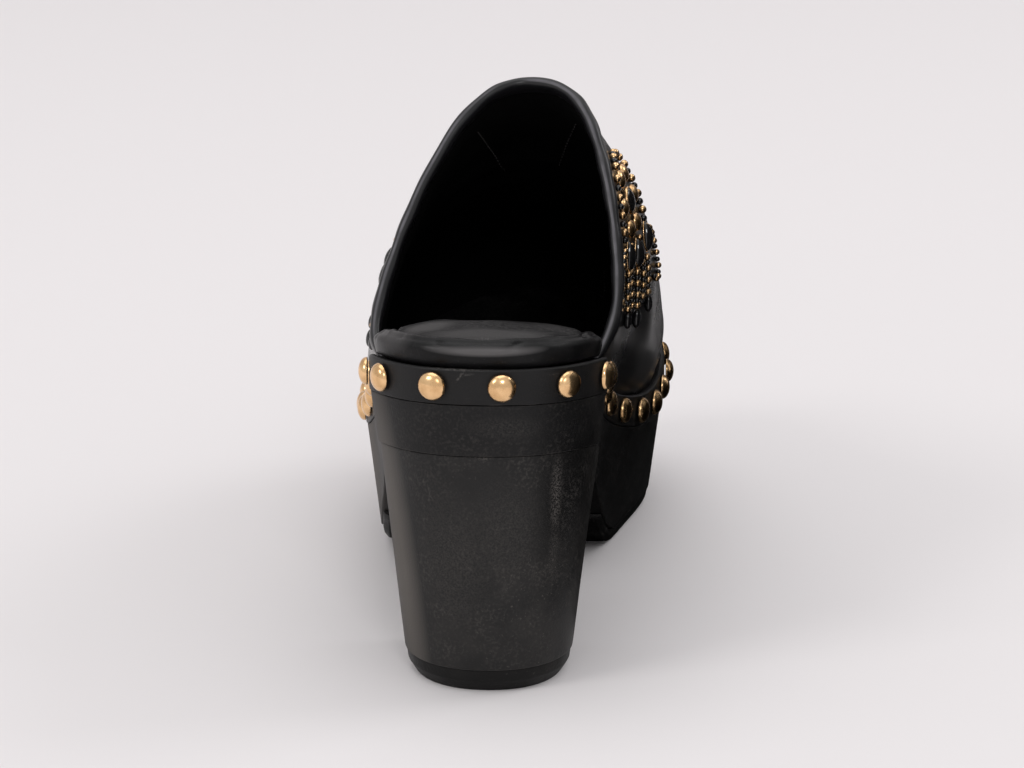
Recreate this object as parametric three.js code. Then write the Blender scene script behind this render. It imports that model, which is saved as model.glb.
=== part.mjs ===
// A platform clog for the left foot: a block-heeled sole, a studded rand and an open-backed upper.
// Millimetres, +Z up, +Y to the toe, +X to the inner (medial) side. The origin is on the floor under the
// middle of the shoe. Every piece is worked out from the same outline, side profile and sections.

import * as THREE from "three";
import { mergeVertices } from "three/addons/utils/BufferGeometryUtils.js";

// Overall sizes.
const soleLength = 252;
const ballWidth = 96;
const heelSeatHeight = 98.6; // floor to the rand's top edge at the back
const forefootHeight = 50.5; // floor to the rand's top edge at the ball
const toeSpring = 11;
const toeSpringLength = 50;
const instepHeight = 98.8; // the sole's edge to the crest, at the throat
const gap = 0.3; // between curved pieces that meet

// Plan ends: the heel and toe are rounded over these lengths.
const heelRound = 36;
const heelRoundPower = 2.15;
const toeRound = 64;
const toeRoundPower = 2.25;

// Sole, heel and treads.
const seatThickness = 25.4; // rand's top edge to the seam over the heel
const breastFromBack = 64;
const breastSlope = 0.09; // forward rise of the heel's front face
const treadFromBack = 148;
const treadEase = 5.5; // extra inset of the inner lower edge where the tread begins
const treadEaseLength = 48;
const heelDraft = 0.11; // how far the heel's sides draw in per millimetre down
const sideDraft = 0.12; // the same for the platform
const outsoleThickness = 5;
const outsoleRear = 112; // where its feathered rear edge lies on the ramp
const outsoleFeather = 1.2;
const outsoleChamfer = 1.9;
const heelTipThickness = 7;
const heelTipChamfer = 2;
const heelTipChamferHeight = 3.5;

// Rand.
const randHeight = 10.2;
const randThickness = 1.6;
const randLip = 0.8; // how far the rand stands above the sole's top face
const sideInset = 0.9; // the sole's side lies this far inside the rand's face

// Studs of the rand.
const studRadius = 3.9;
const studHeight = 2.7;
const studDrop = 5; // rand's top edge to the row of studs
const studPitch = 19.6;
const studPhase = 5.6; // from the middle of the back to the nearest stud, towards the inner side

// Upper and its binding.
const wall = 2.2;
const bindingWidth = 5;
const bindingProud = 0.4;
const throatFromBack = 109;
const toplineInnerFromBack = 46;
const toplineOuterFromBack = 48;
const toplineSweep = 1.55; // how early the topline runs forward as it climbs
const toeCrestRound = 47;
const toeCrestPower = 2.3;

// Insole.
const insoleHeelThickness = 10.2;
const insoleForepartThickness = 7;
const insoleTaperTo = 150; // from the back to where the pad has thinned out
const insoleCrown = 2.4;
const insoleShownInset = 0.8;
const insoleHiddenInset = 4.3;
const insoleToeInset = 4; // further in at the toe, where the upper closes over it
const insoleStepLength = 9; // over which it draws in behind the upper's rear corners

// Jewels of the vamp.
const domeRadius = 2.7;
const domeHeight = 2;
const stoneRadius = 4.2;
const stoneHeight = 2.4;
const dropLength = 9;
const dropWidth = 5.4;

// Plan of the rand's face: centre line and half width as shares of the ball width.
const PLAN = [
  { at: 0.0, centre: 0.0, half: 0.356 },
  { at: 0.14, centre: -0.002, half: 0.356 },
  { at: 0.22, centre: -0.01, half: 0.352 },
  { at: 0.3, centre: -0.026, half: 0.355 },
  { at: 0.38, centre: -0.034, half: 0.37 },
  { at: 0.46, centre: -0.03, half: 0.411 },
  { at: 0.54, centre: -0.014, half: 0.455 },
  { at: 0.62, centre: 0.0, half: 0.483 },
  { at: 0.71, centre: 0.013, half: 0.494 },
  { at: 0.8, centre: 0.034, half: 0.486 },
  { at: 0.9, centre: 0.068, half: 0.462 },
  { at: 1.0, centre: 0.1, half: 0.44 },
];

// Side profile of the rand's top edge: share of the drop from heel seat to forefoot.
const PROFILE = [
  { at: 0.0, rise: 1.0 },
  { at: 0.1, rise: 0.935 },
  { at: 0.2, rise: 0.79 },
  { at: 0.3, rise: 0.555 },
  { at: 0.38, rise: 0.352 },
  { at: 0.46, rise: 0.178 },
  { at: 0.54, rise: 0.06 },
  { at: 0.62, rise: 0.004 },
  { at: 0.71, rise: 0.0 },
  { at: 1.0, rise: 0.0 },
];

// Sections of the upper. crest is a share of the instep height; lean puts the crest off the centre line
// and the flares push the walls out, as shares of the half width there; the side and top columns are how
// far each half's curve follows the wall up and the crest out; roll is how far the foot of the wall
// rolls out over the rand, in shares of rollReach.
const rollReach = 6;
const SECTIONS = [
  {
    at: 0.18, crest: 1.22, lean: 0.34, roll: 1.0,
    innerFlare: 0.38, innerSide: 0.4, innerTop: 0.74,
    outerFlare: 0.03, outerSide: 0.24, outerTop: 0.4,
  },
  {
    at: 0.3, crest: 1.12, lean: 0.33, roll: 0.8,
    innerFlare: 0.4, innerSide: 0.42, innerTop: 0.78,
    outerFlare: 0.05, outerSide: 0.24, outerTop: 0.41,
  },
  {
    at: 0.43, crest: 1.0, lean: 0.3, roll: 0.5,
    innerFlare: 0.4, innerSide: 0.46, innerTop: 1.0,
    outerFlare: 0.08, outerSide: 0.25, outerTop: 0.48,
  },
  {
    at: 0.52, crest: 0.9, lean: 0.23, roll: 0.4,
    innerFlare: 0.36, innerSide: 0.48, innerTop: 1.14,
    outerFlare: 0.09, outerSide: 0.28, outerTop: 0.58,
  },
  {
    at: 0.62, crest: 0.765, lean: 0.16, roll: 0.33,
    innerFlare: 0.2, innerSide: 0.47, innerTop: 1.0,
    outerFlare: 0.07, outerSide: 0.36, outerTop: 0.67,
  },
  {
    at: 0.72, crest: 0.62, lean: 0.1, roll: 0.3,
    innerFlare: 0.12, innerSide: 0.47, innerTop: 0.83,
    outerFlare: 0.06, outerSide: 0.42, outerTop: 0.72,
  },
  {
    at: 0.82, crest: 0.485, lean: 0.05, roll: 0.25,
    innerFlare: 0.07, innerSide: 0.5, innerTop: 0.72,
    outerFlare: 0.06, outerSide: 0.47, outerTop: 0.7,
  },
  {
    at: 0.91, crest: 0.4, lean: 0.02, roll: 0.2,
    innerFlare: 0.05, innerSide: 0.55, innerTop: 0.66,
    outerFlare: 0.05, outerSide: 0.53, outerTop: 0.66,
  },
  {
    at: 1.0, crest: 0.34, lean: 0.0, roll: 0.15,
    innerFlare: 0.03, innerSide: 0.55, innerTop: 0.6,
    outerFlare: 0.03, outerSide: 0.55, outerTop: 0.6,
  },
];

// Jewels on each flank, laid as a round flower with three drops under it: millimetres forward and up
// the upper from the flower's middle.
const flowerFromTopline = 26;
const flowerTurn = 0.46; // share of the way up from the feather edge to the crest
const FLANK_JEWELS = [
  { kind: "stone", forward: 0, up: 0 },
  { kind: "dome", forward: 8.4, up: 0 },
  { kind: "dome", forward: 4.2, up: 7.8 },
  { kind: "dome", forward: -4.2, up: 7.8 },
  { kind: "dome", forward: -8.4, up: 0 },
  { kind: "dome", forward: -4.2, up: -7.8 },
  { kind: "dome", forward: 4.2, up: -7.8 },
  { kind: "drop", forward: 0, up: -17 },
  { kind: "drop", forward: 11, up: -15 },
  { kind: "drop", forward: -11, up: -15 },
];

const leather = new THREE.MeshStandardMaterial({ color: 0x17161a, roughness: 0.42, metalness: 0 });
const coveredWood = new THREE.MeshStandardMaterial({ color: 0x1d1c1c, roughness: 0.55, metalness: 0 });
const insoleLeather = new THREE.MeshStandardMaterial({ color: 0x242325, roughness: 0.6, metalness: 0 });
const rubber = new THREE.MeshStandardMaterial({ color: 0x111110, roughness: 0.8, metalness: 0 });
const gold = new THREE.MeshStandardMaterial({ color: 0xd9a86c, roughness: 0.2, metalness: 1 });
const jet = new THREE.MeshStandardMaterial({ color: 0x050506, roughness: 0.08, metalness: 0 });

// The value of one column at a share of the length, on a smooth curve through the rows.
function along(rows, column, share) {
  const next = rows.findIndex((row) => row.at > share);
  const i = next < 0 ? rows.length - 2 : Math.max(0, next - 1);
  const slope = (k) => {
    const a = rows[Math.max(0, k - 1)];
    const b = rows[Math.min(rows.length - 1, k + 1)];
    return (b[column] - a[column]) / (b.at - a.at);
  };
  const span = rows[i + 1].at - rows[i].at;
  const t = Math.min(1, Math.max(0, (share - rows[i].at) / span));
  return (
    rows[i][column] * (2 * t ** 3 - 3 * t ** 2 + 1) +
    slope(i) * span * (t ** 3 - 2 * t ** 2 + t) +
    rows[i + 1][column] * (3 * t ** 2 - 2 * t ** 3) +
    slope(i + 1) * span * (t ** 3 - t ** 2)
  );
}

const rounded = (reach, power) => Math.max(0, 1 - Math.min(1, Math.max(0, reach)) ** power) ** (1 / power);

// Half width at y of the outline drawn in by inset.
function halfWidth(y, inset) {
  const full = ballWidth * along(PLAN, "half", y / soleLength) - inset;
  const heel = rounded((heelRound - y) / (heelRound - inset), heelRoundPower);
  const toe = rounded((y - soleLength + toeRound) / (toeRound - inset), toeRoundPower);
  return full * heel * toe;
}

const centreLine = (y) => ballWidth * along(PLAN, "centre", y / soleLength);
const innerEdge = (y, inset) => centreLine(y) + halfWidth(y, inset);
const outerEdge = (y, inset) => centreLine(y) - halfWidth(y, inset);

// Heights along the shoe.
const spring = (y) => toeSpring * Math.max(0, (y - soleLength + toeSpringLength) / toeSpringLength) ** 2;
const randTop = (y) =>
  forefootHeight + (heelSeatHeight - forefootHeight) * along(PROFILE, "rise", y / soleLength) + spring(y);
const soleTop = (y) => randTop(y) - randLip;
const randFoot = (y) => randTop(y) - randHeight;

// The sole's underside: parallel to the seat over the heel, then a ramp down to the tread.
function soleUnder(y) {
  const seat = randTop(Math.min(y, breastFromBack)) - seatThickness;
  if (y <= breastFromBack) return seat;
  const floor = outsoleThickness + gap;
  if (y >= treadFromBack) return floor + spring(y);
  const span = treadFromBack - breastFromBack;
  const t = (y - breastFromBack) / span;
  const startSlope = (randTop(breastFromBack + 1) - randTop(breastFromBack)) * span;
  const endSlope = -0.16 * span;
  return (
    seat * (2 * t ** 3 - 3 * t ** 2 + 1) +
    startSlope * (t ** 3 - 2 * t ** 2 + t) +
    floor * (3 * t ** 2 - 2 * t ** 3) +
    endSlope * (t ** 3 - t ** 2)
  );
}

// Stations from heel to toe, close together where the outline turns. Each is a share that stationY
// places for an outline drawn in by inset.
const HEEL_STATIONS = 8;
const MIDDLE_STATIONS = 17;
const TOE_STATIONS = 10;
const STATIONS = HEEL_STATIONS + MIDDLE_STATIONS + TOE_STATIONS;

function stationY(i, inset) {
  const toeStart = soleLength - toeRound;
  if (i <= HEEL_STATIONS) {
    return heelRound - (heelRound - inset) * Math.cos((i / HEEL_STATIONS) * (Math.PI / 2));
  }
  if (i <= HEEL_STATIONS + MIDDLE_STATIONS) {
    return heelRound + ((i - HEEL_STATIONS) / MIDDLE_STATIONS) * (toeStart - heelRound);
  }
  const t = (i - HEEL_STATIONS - MIDDLE_STATIONS) / TOE_STATIONS;
  return toeStart + (toeRound - inset) * Math.sin(t * (Math.PI / 2));
}

// One named closed mesh from points and faces, its doubled vertices joined and its faces outward.
function solid(name, material, points, faces) {
  const positions = new Float32Array(points.flatMap((p) => [p.x, p.y, p.z]));
  const loose = new THREE.BufferGeometry().setAttribute("position", new THREE.BufferAttribute(positions, 3));
  loose.setIndex(faces.flat());
  const geometry = mergeVertices(loose, 1e-3);
  const old = geometry.index.array;
  const kept = [];
  for (let i = 0; i < old.length; i += 3) {
    const [a, b, c] = [old[i], old[i + 1], old[i + 2]];
    if (a !== b && b !== c && a !== c) kept.push([a, b, c]);
  }
  const at = (k) => new THREE.Vector3().fromBufferAttribute(geometry.attributes.position, k);
  const volume = kept.reduce((sum, [a, b, c]) => sum + at(a).dot(at(b).cross(at(c))), 0);
  geometry.setIndex(kept.flatMap(([a, b, c]) => (volume > 0 ? [a, b, c] : [a, c, b])));
  geometry.computeVertexNormals();
  const mesh = new THREE.Mesh(geometry, material);
  mesh.name = name;
  return mesh;
}

const quad = (a, b, c, d) => [
  [a, b, c],
  [a, c, d],
];

// Joins rings of points one after the other. An end whose ring has width is closed by a fan.
function loft(name, material, rings, { closed = false, capStart = false, capEnd = false } = {}) {
  const n = rings[0].length;
  const points = rings.flat();
  const faces = [];
  const spans = closed ? rings.length : rings.length - 1;
  for (let i = 0; i < spans; i++) {
    const [here, there] = [i * n, ((i + 1) % rings.length) * n];
    for (let j = 0; j < n; j++) {
      const k = (j + 1) % n;
      faces.push(...quad(here + j, here + k, there + k, there + j));
    }
  }
  const fan = (ring, flipped) => {
    const middle = ring.reduce((sum, p) => sum.add(p), new THREE.Vector3()).divideScalar(n);
    const start = points.indexOf(ring[0]);
    points.push(middle);
    for (let j = 0; j < n; j++) {
      const [a, b] = [start + j, start + ((j + 1) % n)];
      faces.push(flipped ? [points.length - 1, a, b] : [points.length - 1, b, a]);
    }
  };
  if (capStart) fan(rings[0], false);
  if (capEnd) fan(rings[rings.length - 1], true);
  return solid(name, material, points, faces);
}

// A ring across the shoe at one station: steps gives the [inset, height] pairs down each side.
function crossRing(station, steps) {
  const side = (edge) =>
    steps(station, edge).map(([inset, height]) => {
      const y = stationY(station, inset);
      return new THREE.Vector3(edge(y, inset), y, height(y));
    });
  return [...side(innerEdge), ...side(outerEdge).reverse()];
}

// Inset of the platform's lower edge: the sides draw in, and the inner one more where the tread begins.
function lowerInset(station, edge) {
  const y = stationY(station, sideInset);
  const reach = Math.min(1, Math.abs(y - treadFromBack) / treadEaseLength);
  const ease = edge === innerEdge ? (1 - reach * reach) ** 2 : 0;
  return sideInset + sideDraft * Math.max(0, randFoot(y) - soleUnder(y)) + treadEase * ease;
}

// Sole: a rebate for the rand, a step out below it, and drafted sides down to the underside.
function makeSole() {
  const behindRand = randThickness + gap;
  const steps = (station, edge) => [
    [behindRand + 8, soleTop],
    [behindRand, soleTop],
    [behindRand, (at) => randFoot(at) - gap],
    [sideInset, (at) => randFoot(at) - gap],
    [lowerInset(station, edge), soleUnder],
  ];
  const rings = [];
  for (let i = 0; i <= STATIONS; i++) rings.push(crossRing(i, steps));
  return loft("sole", coveredWood, rings);
}

// Outsole under the forefoot, its rear edge feathered up the ramp.
function makeOutsole() {
  const rings = [];
  const rear = Array.from({ length: STATIONS }, (_, i) => i).findIndex((i) => stationY(i, 0) >= outsoleRear);
  for (let i = rear; i <= STATIONS; i++) {
    const top = (at) => soleUnder(at) - gap;
    const reach = Math.min(1, (stationY(i, 0) - outsoleRear) / (treadFromBack - outsoleRear));
    const thick = outsoleFeather + (outsoleThickness - outsoleFeather) * reach;
    const steps = (station, edge) => {
      const inset = lowerInset(station, edge);
      return [
        [inset, top],
        [inset + outsoleChamfer * 0.2, (at) => top(at) - thick * 0.55],
        [inset + outsoleChamfer, (at) => top(at) - thick],
      ];
    };
    rings.push(crossRing(i, steps));
  }
  return loft("outsole", rubber, rings, { capStart: true });
}

// Outline of the heel at height z, from the breast round the back and over to the breast again.
const HEEL_ARC = 9;
function heelRing(z, extraInset, height) {
  const inset = sideInset + heelDraft * (heelSeatHeight - randHeight - z) + extraInset;
  const breast = breastFromBack - breastSlope * (heelSeatHeight - z) - extraInset;
  const side = (edge) => {
    const points = [];
    for (let i = HEEL_ARC; i >= 0; i--) {
      const y = heelRound - (heelRound - inset) * Math.cos((i / HEEL_ARC) * (Math.PI / 2));
      points.push(new THREE.Vector3(edge(y, inset), y, height ? height(y) : z));
    }
    return points;
  };
  const corner = (edge) => new THREE.Vector3(edge(heelRound, inset), breast, height ? height(breast) : z);
  return [corner(innerEdge), ...side(innerEdge), ...side(outerEdge).reverse().slice(1), corner(outerEdge)];
}

function makeHeel() {
  const seam = (y) => soleUnder(y) - gap;
  const levels = [0, 0.33, 0.66, 1];
  const rings = levels.map((level) => {
    const z = heelTipThickness + level * (seam(heelRound) - heelTipThickness);
    return heelRing(z, 0, (y) => heelTipThickness + level * (seam(y) - heelTipThickness));
  });
  return loft("heel", coveredWood, rings, { capStart: true, capEnd: true });
}

function makeHeelTip() {
  const rings = [
    heelRing(heelTipThickness, 0.2, null),
    heelRing(heelTipChamferHeight, 0.2, null),
    heelRing(0, heelTipChamfer, null),
  ];
  return loft("heel_tip", rubber, rings, { capStart: true, capEnd: true });
}

// Every station of the closed outline, from the back along the inner side to the toe and home again.
function outlineStations() {
  const loop = [];
  for (let i = 0; i < STATIONS; i++) loop.push({ station: i, edge: innerEdge });
  for (let i = STATIONS; i > 0; i--) loop.push({ station: i, edge: outerEdge });
  return loop;
}

function outlinePoint({ station, edge }, inset, height) {
  const y = stationY(station, inset);
  return new THREE.Vector3(edge(y, inset), y, height(y));
}

function makeRand() {
  const edgeRound = 0.5;
  const rings = outlineStations().map((place) => [
    outlinePoint(place, edgeRound, randTop),
    outlinePoint(place, 0, (y) => randTop(y) - edgeRound),
    outlinePoint(place, 0, randFoot),
    outlinePoint(place, randThickness, randFoot),
    outlinePoint(place, randThickness, randTop),
  ]);
  return loft("rand", leather, rings, { closed: true });
}

// A smooth domed head on its base plane, as a lathe about +Y turned to stand on +Z.
function headGeometry(radius, height, segments) {
  const lip = height * 0.14;
  const profile = [
    new THREE.Vector2(0, 0),
    new THREE.Vector2(radius, 0),
    new THREE.Vector2(radius, lip),
    new THREE.Vector2(radius * 0.82, height * 0.62),
    new THREE.Vector2(radius * 0.45, height * 0.93),
    new THREE.Vector2(0, height),
  ];
  return new THREE.LatheGeometry(profile, segments).rotateX(Math.PI / 2);
}

const HEAD_SEGMENTS = 10;

// Stands a piece modelled on +Z at a point, along a normal.
function stand(mesh, point, normal, up = new THREE.Vector3(0, 0, 1)) {
  const z = normal.clone().normalize();
  const x = new THREE.Vector3().crossVectors(up, z).normalize();
  const y = new THREE.Vector3().crossVectors(z, x);
  mesh.quaternion.setFromRotationMatrix(new THREE.Matrix4().makeBasis(x, y, z));
  mesh.position.copy(point);
  return mesh;
}

// Studs at an even pitch round the middle of the rand's face.
function makeRandStuds() {
  const middle = (y) => randTop(y) - studDrop;
  const path = outlineStations().map((place) => outlinePoint(place, 0, middle));
  const round = new THREE.CatmullRomCurve3(path, true, "centripetal");
  round.arcLengthDivisions = 1200;
  const length = round.getLength();
  const count = Math.round(length / studPitch);
  const studs = [];
  for (let i = 0; i < count; i++) {
    const u = (((studPhase + (i * length) / count) / length) % 1 + 1) % 1;
    const tangent = round.getTangentAt(u);
    const outward = new THREE.Vector3(tangent.y, -tangent.x, 0).normalize();
    const stud = new THREE.Mesh(headGeometry(studRadius, studHeight, HEAD_SEGMENTS), gold);
    stud.name = `rand_stud_${String(i + 1).padStart(2, "0")}`;
    studs.push(stand(stud, round.getPointAt(u).addScaledVector(outward, gap), outward));
  }
  return studs;
}

// Outside of the upper at y, turn 0 to 2 from the inner feather edge over the crest to the outer one.
const upperInset = randThickness + gap + bindingProud;

function upperPoint(y, turn) {
  const value = (column) => along(SECTIONS, column, y / soleLength);
  const half = halfWidth(y, upperInset);
  const crestReach = (y - soleLength + toeCrestRound) / (toeCrestRound - upperInset);
  const rise = instepHeight * value("crest") * rounded(crestReach, toeCrestPower);
  const inner = turn <= 1;
  const t = inner ? turn : 2 - turn;
  const out = inner ? half : -half;
  const flare = value(inner ? "innerFlare" : "outerFlare");
  const crestX = half * value("lean");
  const topX = crestX + value(inner ? "innerTop" : "outerTop") * (out - crestX);
  const curve = new THREE.CubicBezierCurve(
    new THREE.Vector2(out, 0),
    new THREE.Vector2(out * (1 + flare), rise * value(inner ? "innerSide" : "outerSide")),
    new THREE.Vector2(topX, rise),
    new THREE.Vector2(crestX, rise),
  );
  const p = curve.getPoint(t);
  const roll = rollReach * value("roll") * (1 - Math.exp(-t / 0.06)) * (1 - t) ** 2 * Math.min(1, half / 20);
  return new THREE.Vector3(centreLine(y) + p.x + Math.sign(out) * roll, y, soleTop(y) + gap + p.y);
}

// Where the topline crosses a turn, and the outward normal of the upper there or anywhere.
function toplineY(turn) {
  const t = turn <= 1 ? turn : 2 - turn;
  const low = turn <= 1 ? toplineInnerFromBack : toplineOuterFromBack;
  return low + (throatFromBack - low) * (1 - (1 - t) ** toplineSweep);
}

const upperTip = soleLength - upperInset;

function upperNormal(y, turn) {
  const step = 0.02;
  const y0 = Math.min(y, upperTip - 0.4);
  const alongY = upperPoint(y0 + step * 10, turn).sub(upperPoint(y0 - step * 10, turn));
  const t0 = Math.max(0, turn - step);
  const t1 = Math.min(2, turn + step);
  const around = upperPoint(y0, t1).sub(upperPoint(y0, t0));
  return alongY.cross(around).normalize();
}

// The y that lies a given way in from the topline, measured square to it on the surface.
function inFromTopline(turn, distance) {
  const step = 0.01;
  const y = toplineY(turn);
  const t0 = Math.max(0, turn - step);
  const t1 = Math.min(2, turn + step);
  const edge = upperPoint(toplineY(t1), t1).sub(upperPoint(toplineY(t0), t0)).normalize();
  const forward = upperPoint(y + 1, turn).sub(upperPoint(y, turn));
  return y + distance / edge.cross(forward).length();
}

const UPPER_TURNS = 36;
const UPPER_ROWS = 22;

function upperGrid(depth) {
  const rows = [];
  for (let j = 0; j <= UPPER_ROWS; j++) {
    const row = [];
    for (let i = 0; i <= UPPER_TURNS; i++) {
      const turn = (2 * i) / UPPER_TURNS;
      const start = inFromTopline(turn, bindingWidth + gap);
      const y = start + (upperTip - start) * (1 - (1 - j / UPPER_ROWS) ** 1.7);
      const point = upperPoint(y, turn);
      if (depth > 0) {
        const inward = upperNormal(y, turn).negate();
        if (i === 0 || i === UPPER_TURNS) inward.setZ(0).normalize();
        if (j === UPPER_ROWS) inward.set(0, -1, 0);
        point.addScaledVector(inward, depth);
      }
      row.push(point);
    }
    rows.push(row);
  }
  return rows;
}

function makeUpper() {
  const outer = upperGrid(0);
  const inner = upperGrid(wall);
  const width = UPPER_TURNS + 1;
  const points = [...outer.flat(), ...inner.flat()];
  const shift = outer.length * width;
  const index = (j, i) => j * width + i;
  const faces = [];
  for (let j = 0; j < UPPER_ROWS; j++) {
    for (let i = 0; i < UPPER_TURNS; i++) {
      const [a, b, c, d] = [index(j, i), index(j, i + 1), index(j + 1, i + 1), index(j + 1, i)];
      faces.push(...quad(a, b, c, d), ...quad(shift + a, shift + d, shift + c, shift + b));
    }
  }
  const rim = [];
  for (let i = 0; i < UPPER_TURNS; i++) rim.push(index(0, i));
  for (let j = 0; j < UPPER_ROWS; j++) rim.push(index(j, UPPER_TURNS));
  for (let j = UPPER_ROWS; j > 0; j--) rim.push(index(j, 0));
  rim.forEach((a, k) => {
    const b = rim[(k + 1) % rim.length];
    faces.push(...quad(b, a, shift + a, shift + b));
  });
  return solid("upper", leather, points, faces);
}

// Binding round the topline: a rounded strip as deep as the wall and a little proud of both faces.
function makeBinding() {
  const outside = bindingProud;
  const inside = -wall - bindingProud;
  const middle = (outside + inside) / 2;
  const section = [
    [0, middle + 0.5 * (outside - middle)],
    [0.22, outside],
    [0.86, outside],
    [1, outside - bindingProud],
    [1, inside + bindingProud],
    [0.86, inside],
    [0.22, inside],
    [0, middle - 0.5 * (outside - middle)],
  ];
  const rings = [];
  for (let i = 0; i <= UPPER_TURNS; i++) {
    const turn = (2 * i) / UPPER_TURNS;
    const atEnd = i === 0 || i === UPPER_TURNS;
    rings.push(
      section.map(([across, depth]) => {
        const y = inFromTopline(turn, across * bindingWidth);
        const normal = upperNormal(y, turn);
        if (atEnd) normal.setZ(0).normalize();
        return upperPoint(y, turn).addScaledVector(normal, depth);
      }),
    );
  }
  return loft("topline_binding", leather, rings, { capStart: true, capEnd: true });
}

// Insole: a padded sock with a rolled edge, drawn in where it passes inside the upper.
function makeInsole() {
  const low = Math.min(toplineInnerFromBack, toplineOuterFromBack);
  const drawn = (y) => {
    const t = Math.min(1, Math.max(0, (y - (low - insoleStepLength)) / insoleStepLength));
    const toe = Math.max(0, (y - soleLength + toeRound) / toeRound);
    return insoleShownInset + (insoleHiddenInset - insoleShownInset) * t * t * (3 - 2 * t) + insoleToeInset * toe;
  };
  const taper = (y) => {
    const t = Math.min(1, Math.max(0, y / insoleTaperTo));
    return insoleHeelThickness + (insoleForepartThickness - insoleHeelThickness) * t * t * (3 - 2 * t);
  };
  const foot = randThickness + gap * 2;
  const steps = (station) => {
    const inset = drawn(stationY(station, 0));
    const bottom = (at) => soleTop(at) + gap;
    const over = (at) => bottom(at) + taper(at);
    return [
      [inset + 22, (at) => over(at) + insoleCrown * 0.8],
      [inset + 6, (at) => over(at) + insoleCrown * 0.15],
      [inset + 1.8, (at) => over(at) - 1.1],
      [inset, (at) => bottom(at) + taper(at) * 0.6],
      [Math.max(inset + 0.9, foot), (at) => bottom(at) + randLip],
      [Math.max(inset + 1.6, foot), bottom],
    ];
  };
  const rings = [];
  for (let i = 0; i <= STATIONS; i++) rings.push(crossRing(i, steps));
  return loft("insole", insoleLeather, rings);
}

// A drop-shaped stone lying on +Z with its point up its own +Y.
function dropGeometry() {
  const [tip, side, low] = [dropLength * 0.58, dropWidth * 0.5, dropLength * 0.14];
  const outline = new THREE.Shape();
  outline.moveTo(0, tip);
  outline.bezierCurveTo(side * 0.4, dropLength * 0.2, side, dropLength * 0.1, side, -low);
  outline.bezierCurveTo(side, -dropLength * 0.55, -side, -dropLength * 0.55, -side, -low);
  outline.bezierCurveTo(-side, dropLength * 0.1, -side * 0.4, dropLength * 0.2, 0, tip);
  const base = outline.getPoints(4);
  base.pop();
  const ringAt = (share, z) => base.map((p) => new THREE.Vector3(p.x * share, p.y * share, z));
  return loft("drop", jet, [ringAt(1, 0), ringAt(1, stoneHeight * 0.35), ringAt(0.6, stoneHeight)], {
    capStart: true,
    capEnd: true,
  }).geometry;
}

// The place on the upper some millimetres forward and up from the middle of a flank's flower. Up is
// along the section, and forward is square to it on the surface.
function flowerPlace(side, forward, up) {
  const sign = side === "inner" ? 1 : -1;
  const steps = 8;
  let turn = side === "inner" ? flowerTurn : 2 - flowerTurn;
  let y = toplineY(turn) + flowerFromTopline;
  for (let i = 0; i < steps; i++) {
    const here = upperPoint(y, turn);
    const rising = upperPoint(y, turn + sign * 0.01).sub(here).divideScalar(0.01);
    const ahead = upperPoint(y + 1, turn).sub(here);
    const lift = ahead.dot(rising) / rising.lengthSq();
    const level = ahead.clone().addScaledVector(rising, -lift).length();
    y += forward / steps / level;
    turn += sign * (up / steps / rising.length() - (lift * forward) / steps / level);
  }
  return { y, turn };
}

function makeJewels() {
  const shapes = {
    dome: () => new THREE.Mesh(headGeometry(domeRadius, domeHeight, HEAD_SEGMENTS), gold),
    stone: () => new THREE.Mesh(headGeometry(stoneRadius, stoneHeight, HEAD_SEGMENTS), jet),
    drop: () => new THREE.Mesh(dropGeometry(), jet),
  };
  const counts = {};
  const jewels = [];
  for (const side of ["inner", "outer"]) {
    for (const row of FLANK_JEWELS) {
      const { y, turn } = flowerPlace(side, row.forward, row.up);
      const key = `${side}_${row.kind}`;
      counts[key] = (counts[key] || 0) + 1;
      const jewel = shapes[row.kind]();
      jewel.name = `vamp_${key}_${counts[key]}`;
      const normal = upperNormal(y, turn);
      jewels.push(stand(jewel, upperPoint(y, turn).addScaledVector(normal, gap * 1.5), normal));
    }
  }
  return jewels;
}

const clog = new THREE.Group();
clog.add(
  makeSole(),
  makeOutsole(),
  makeHeel(),
  makeHeelTip(),
  makeRand(),
  makeInsole(),
  makeUpper(),
  makeBinding(),
  ...makeRandStuds(),
  ...makeJewels(),
);
clog.updateMatrixWorld(true);
const middle = new THREE.Box3().setFromObject(clog, true).getCenter(new THREE.Vector3());
clog.position.set(-middle.x, -middle.y, 0);

export default clog;
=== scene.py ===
"""A black leather platform clog, its rand studded and its flanks jewelled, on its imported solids."""

import math

import bmesh
import bpy
import numpy as np
from mathutils import Matrix, Vector
from mathutils.bvhtree import BVHTree


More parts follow.
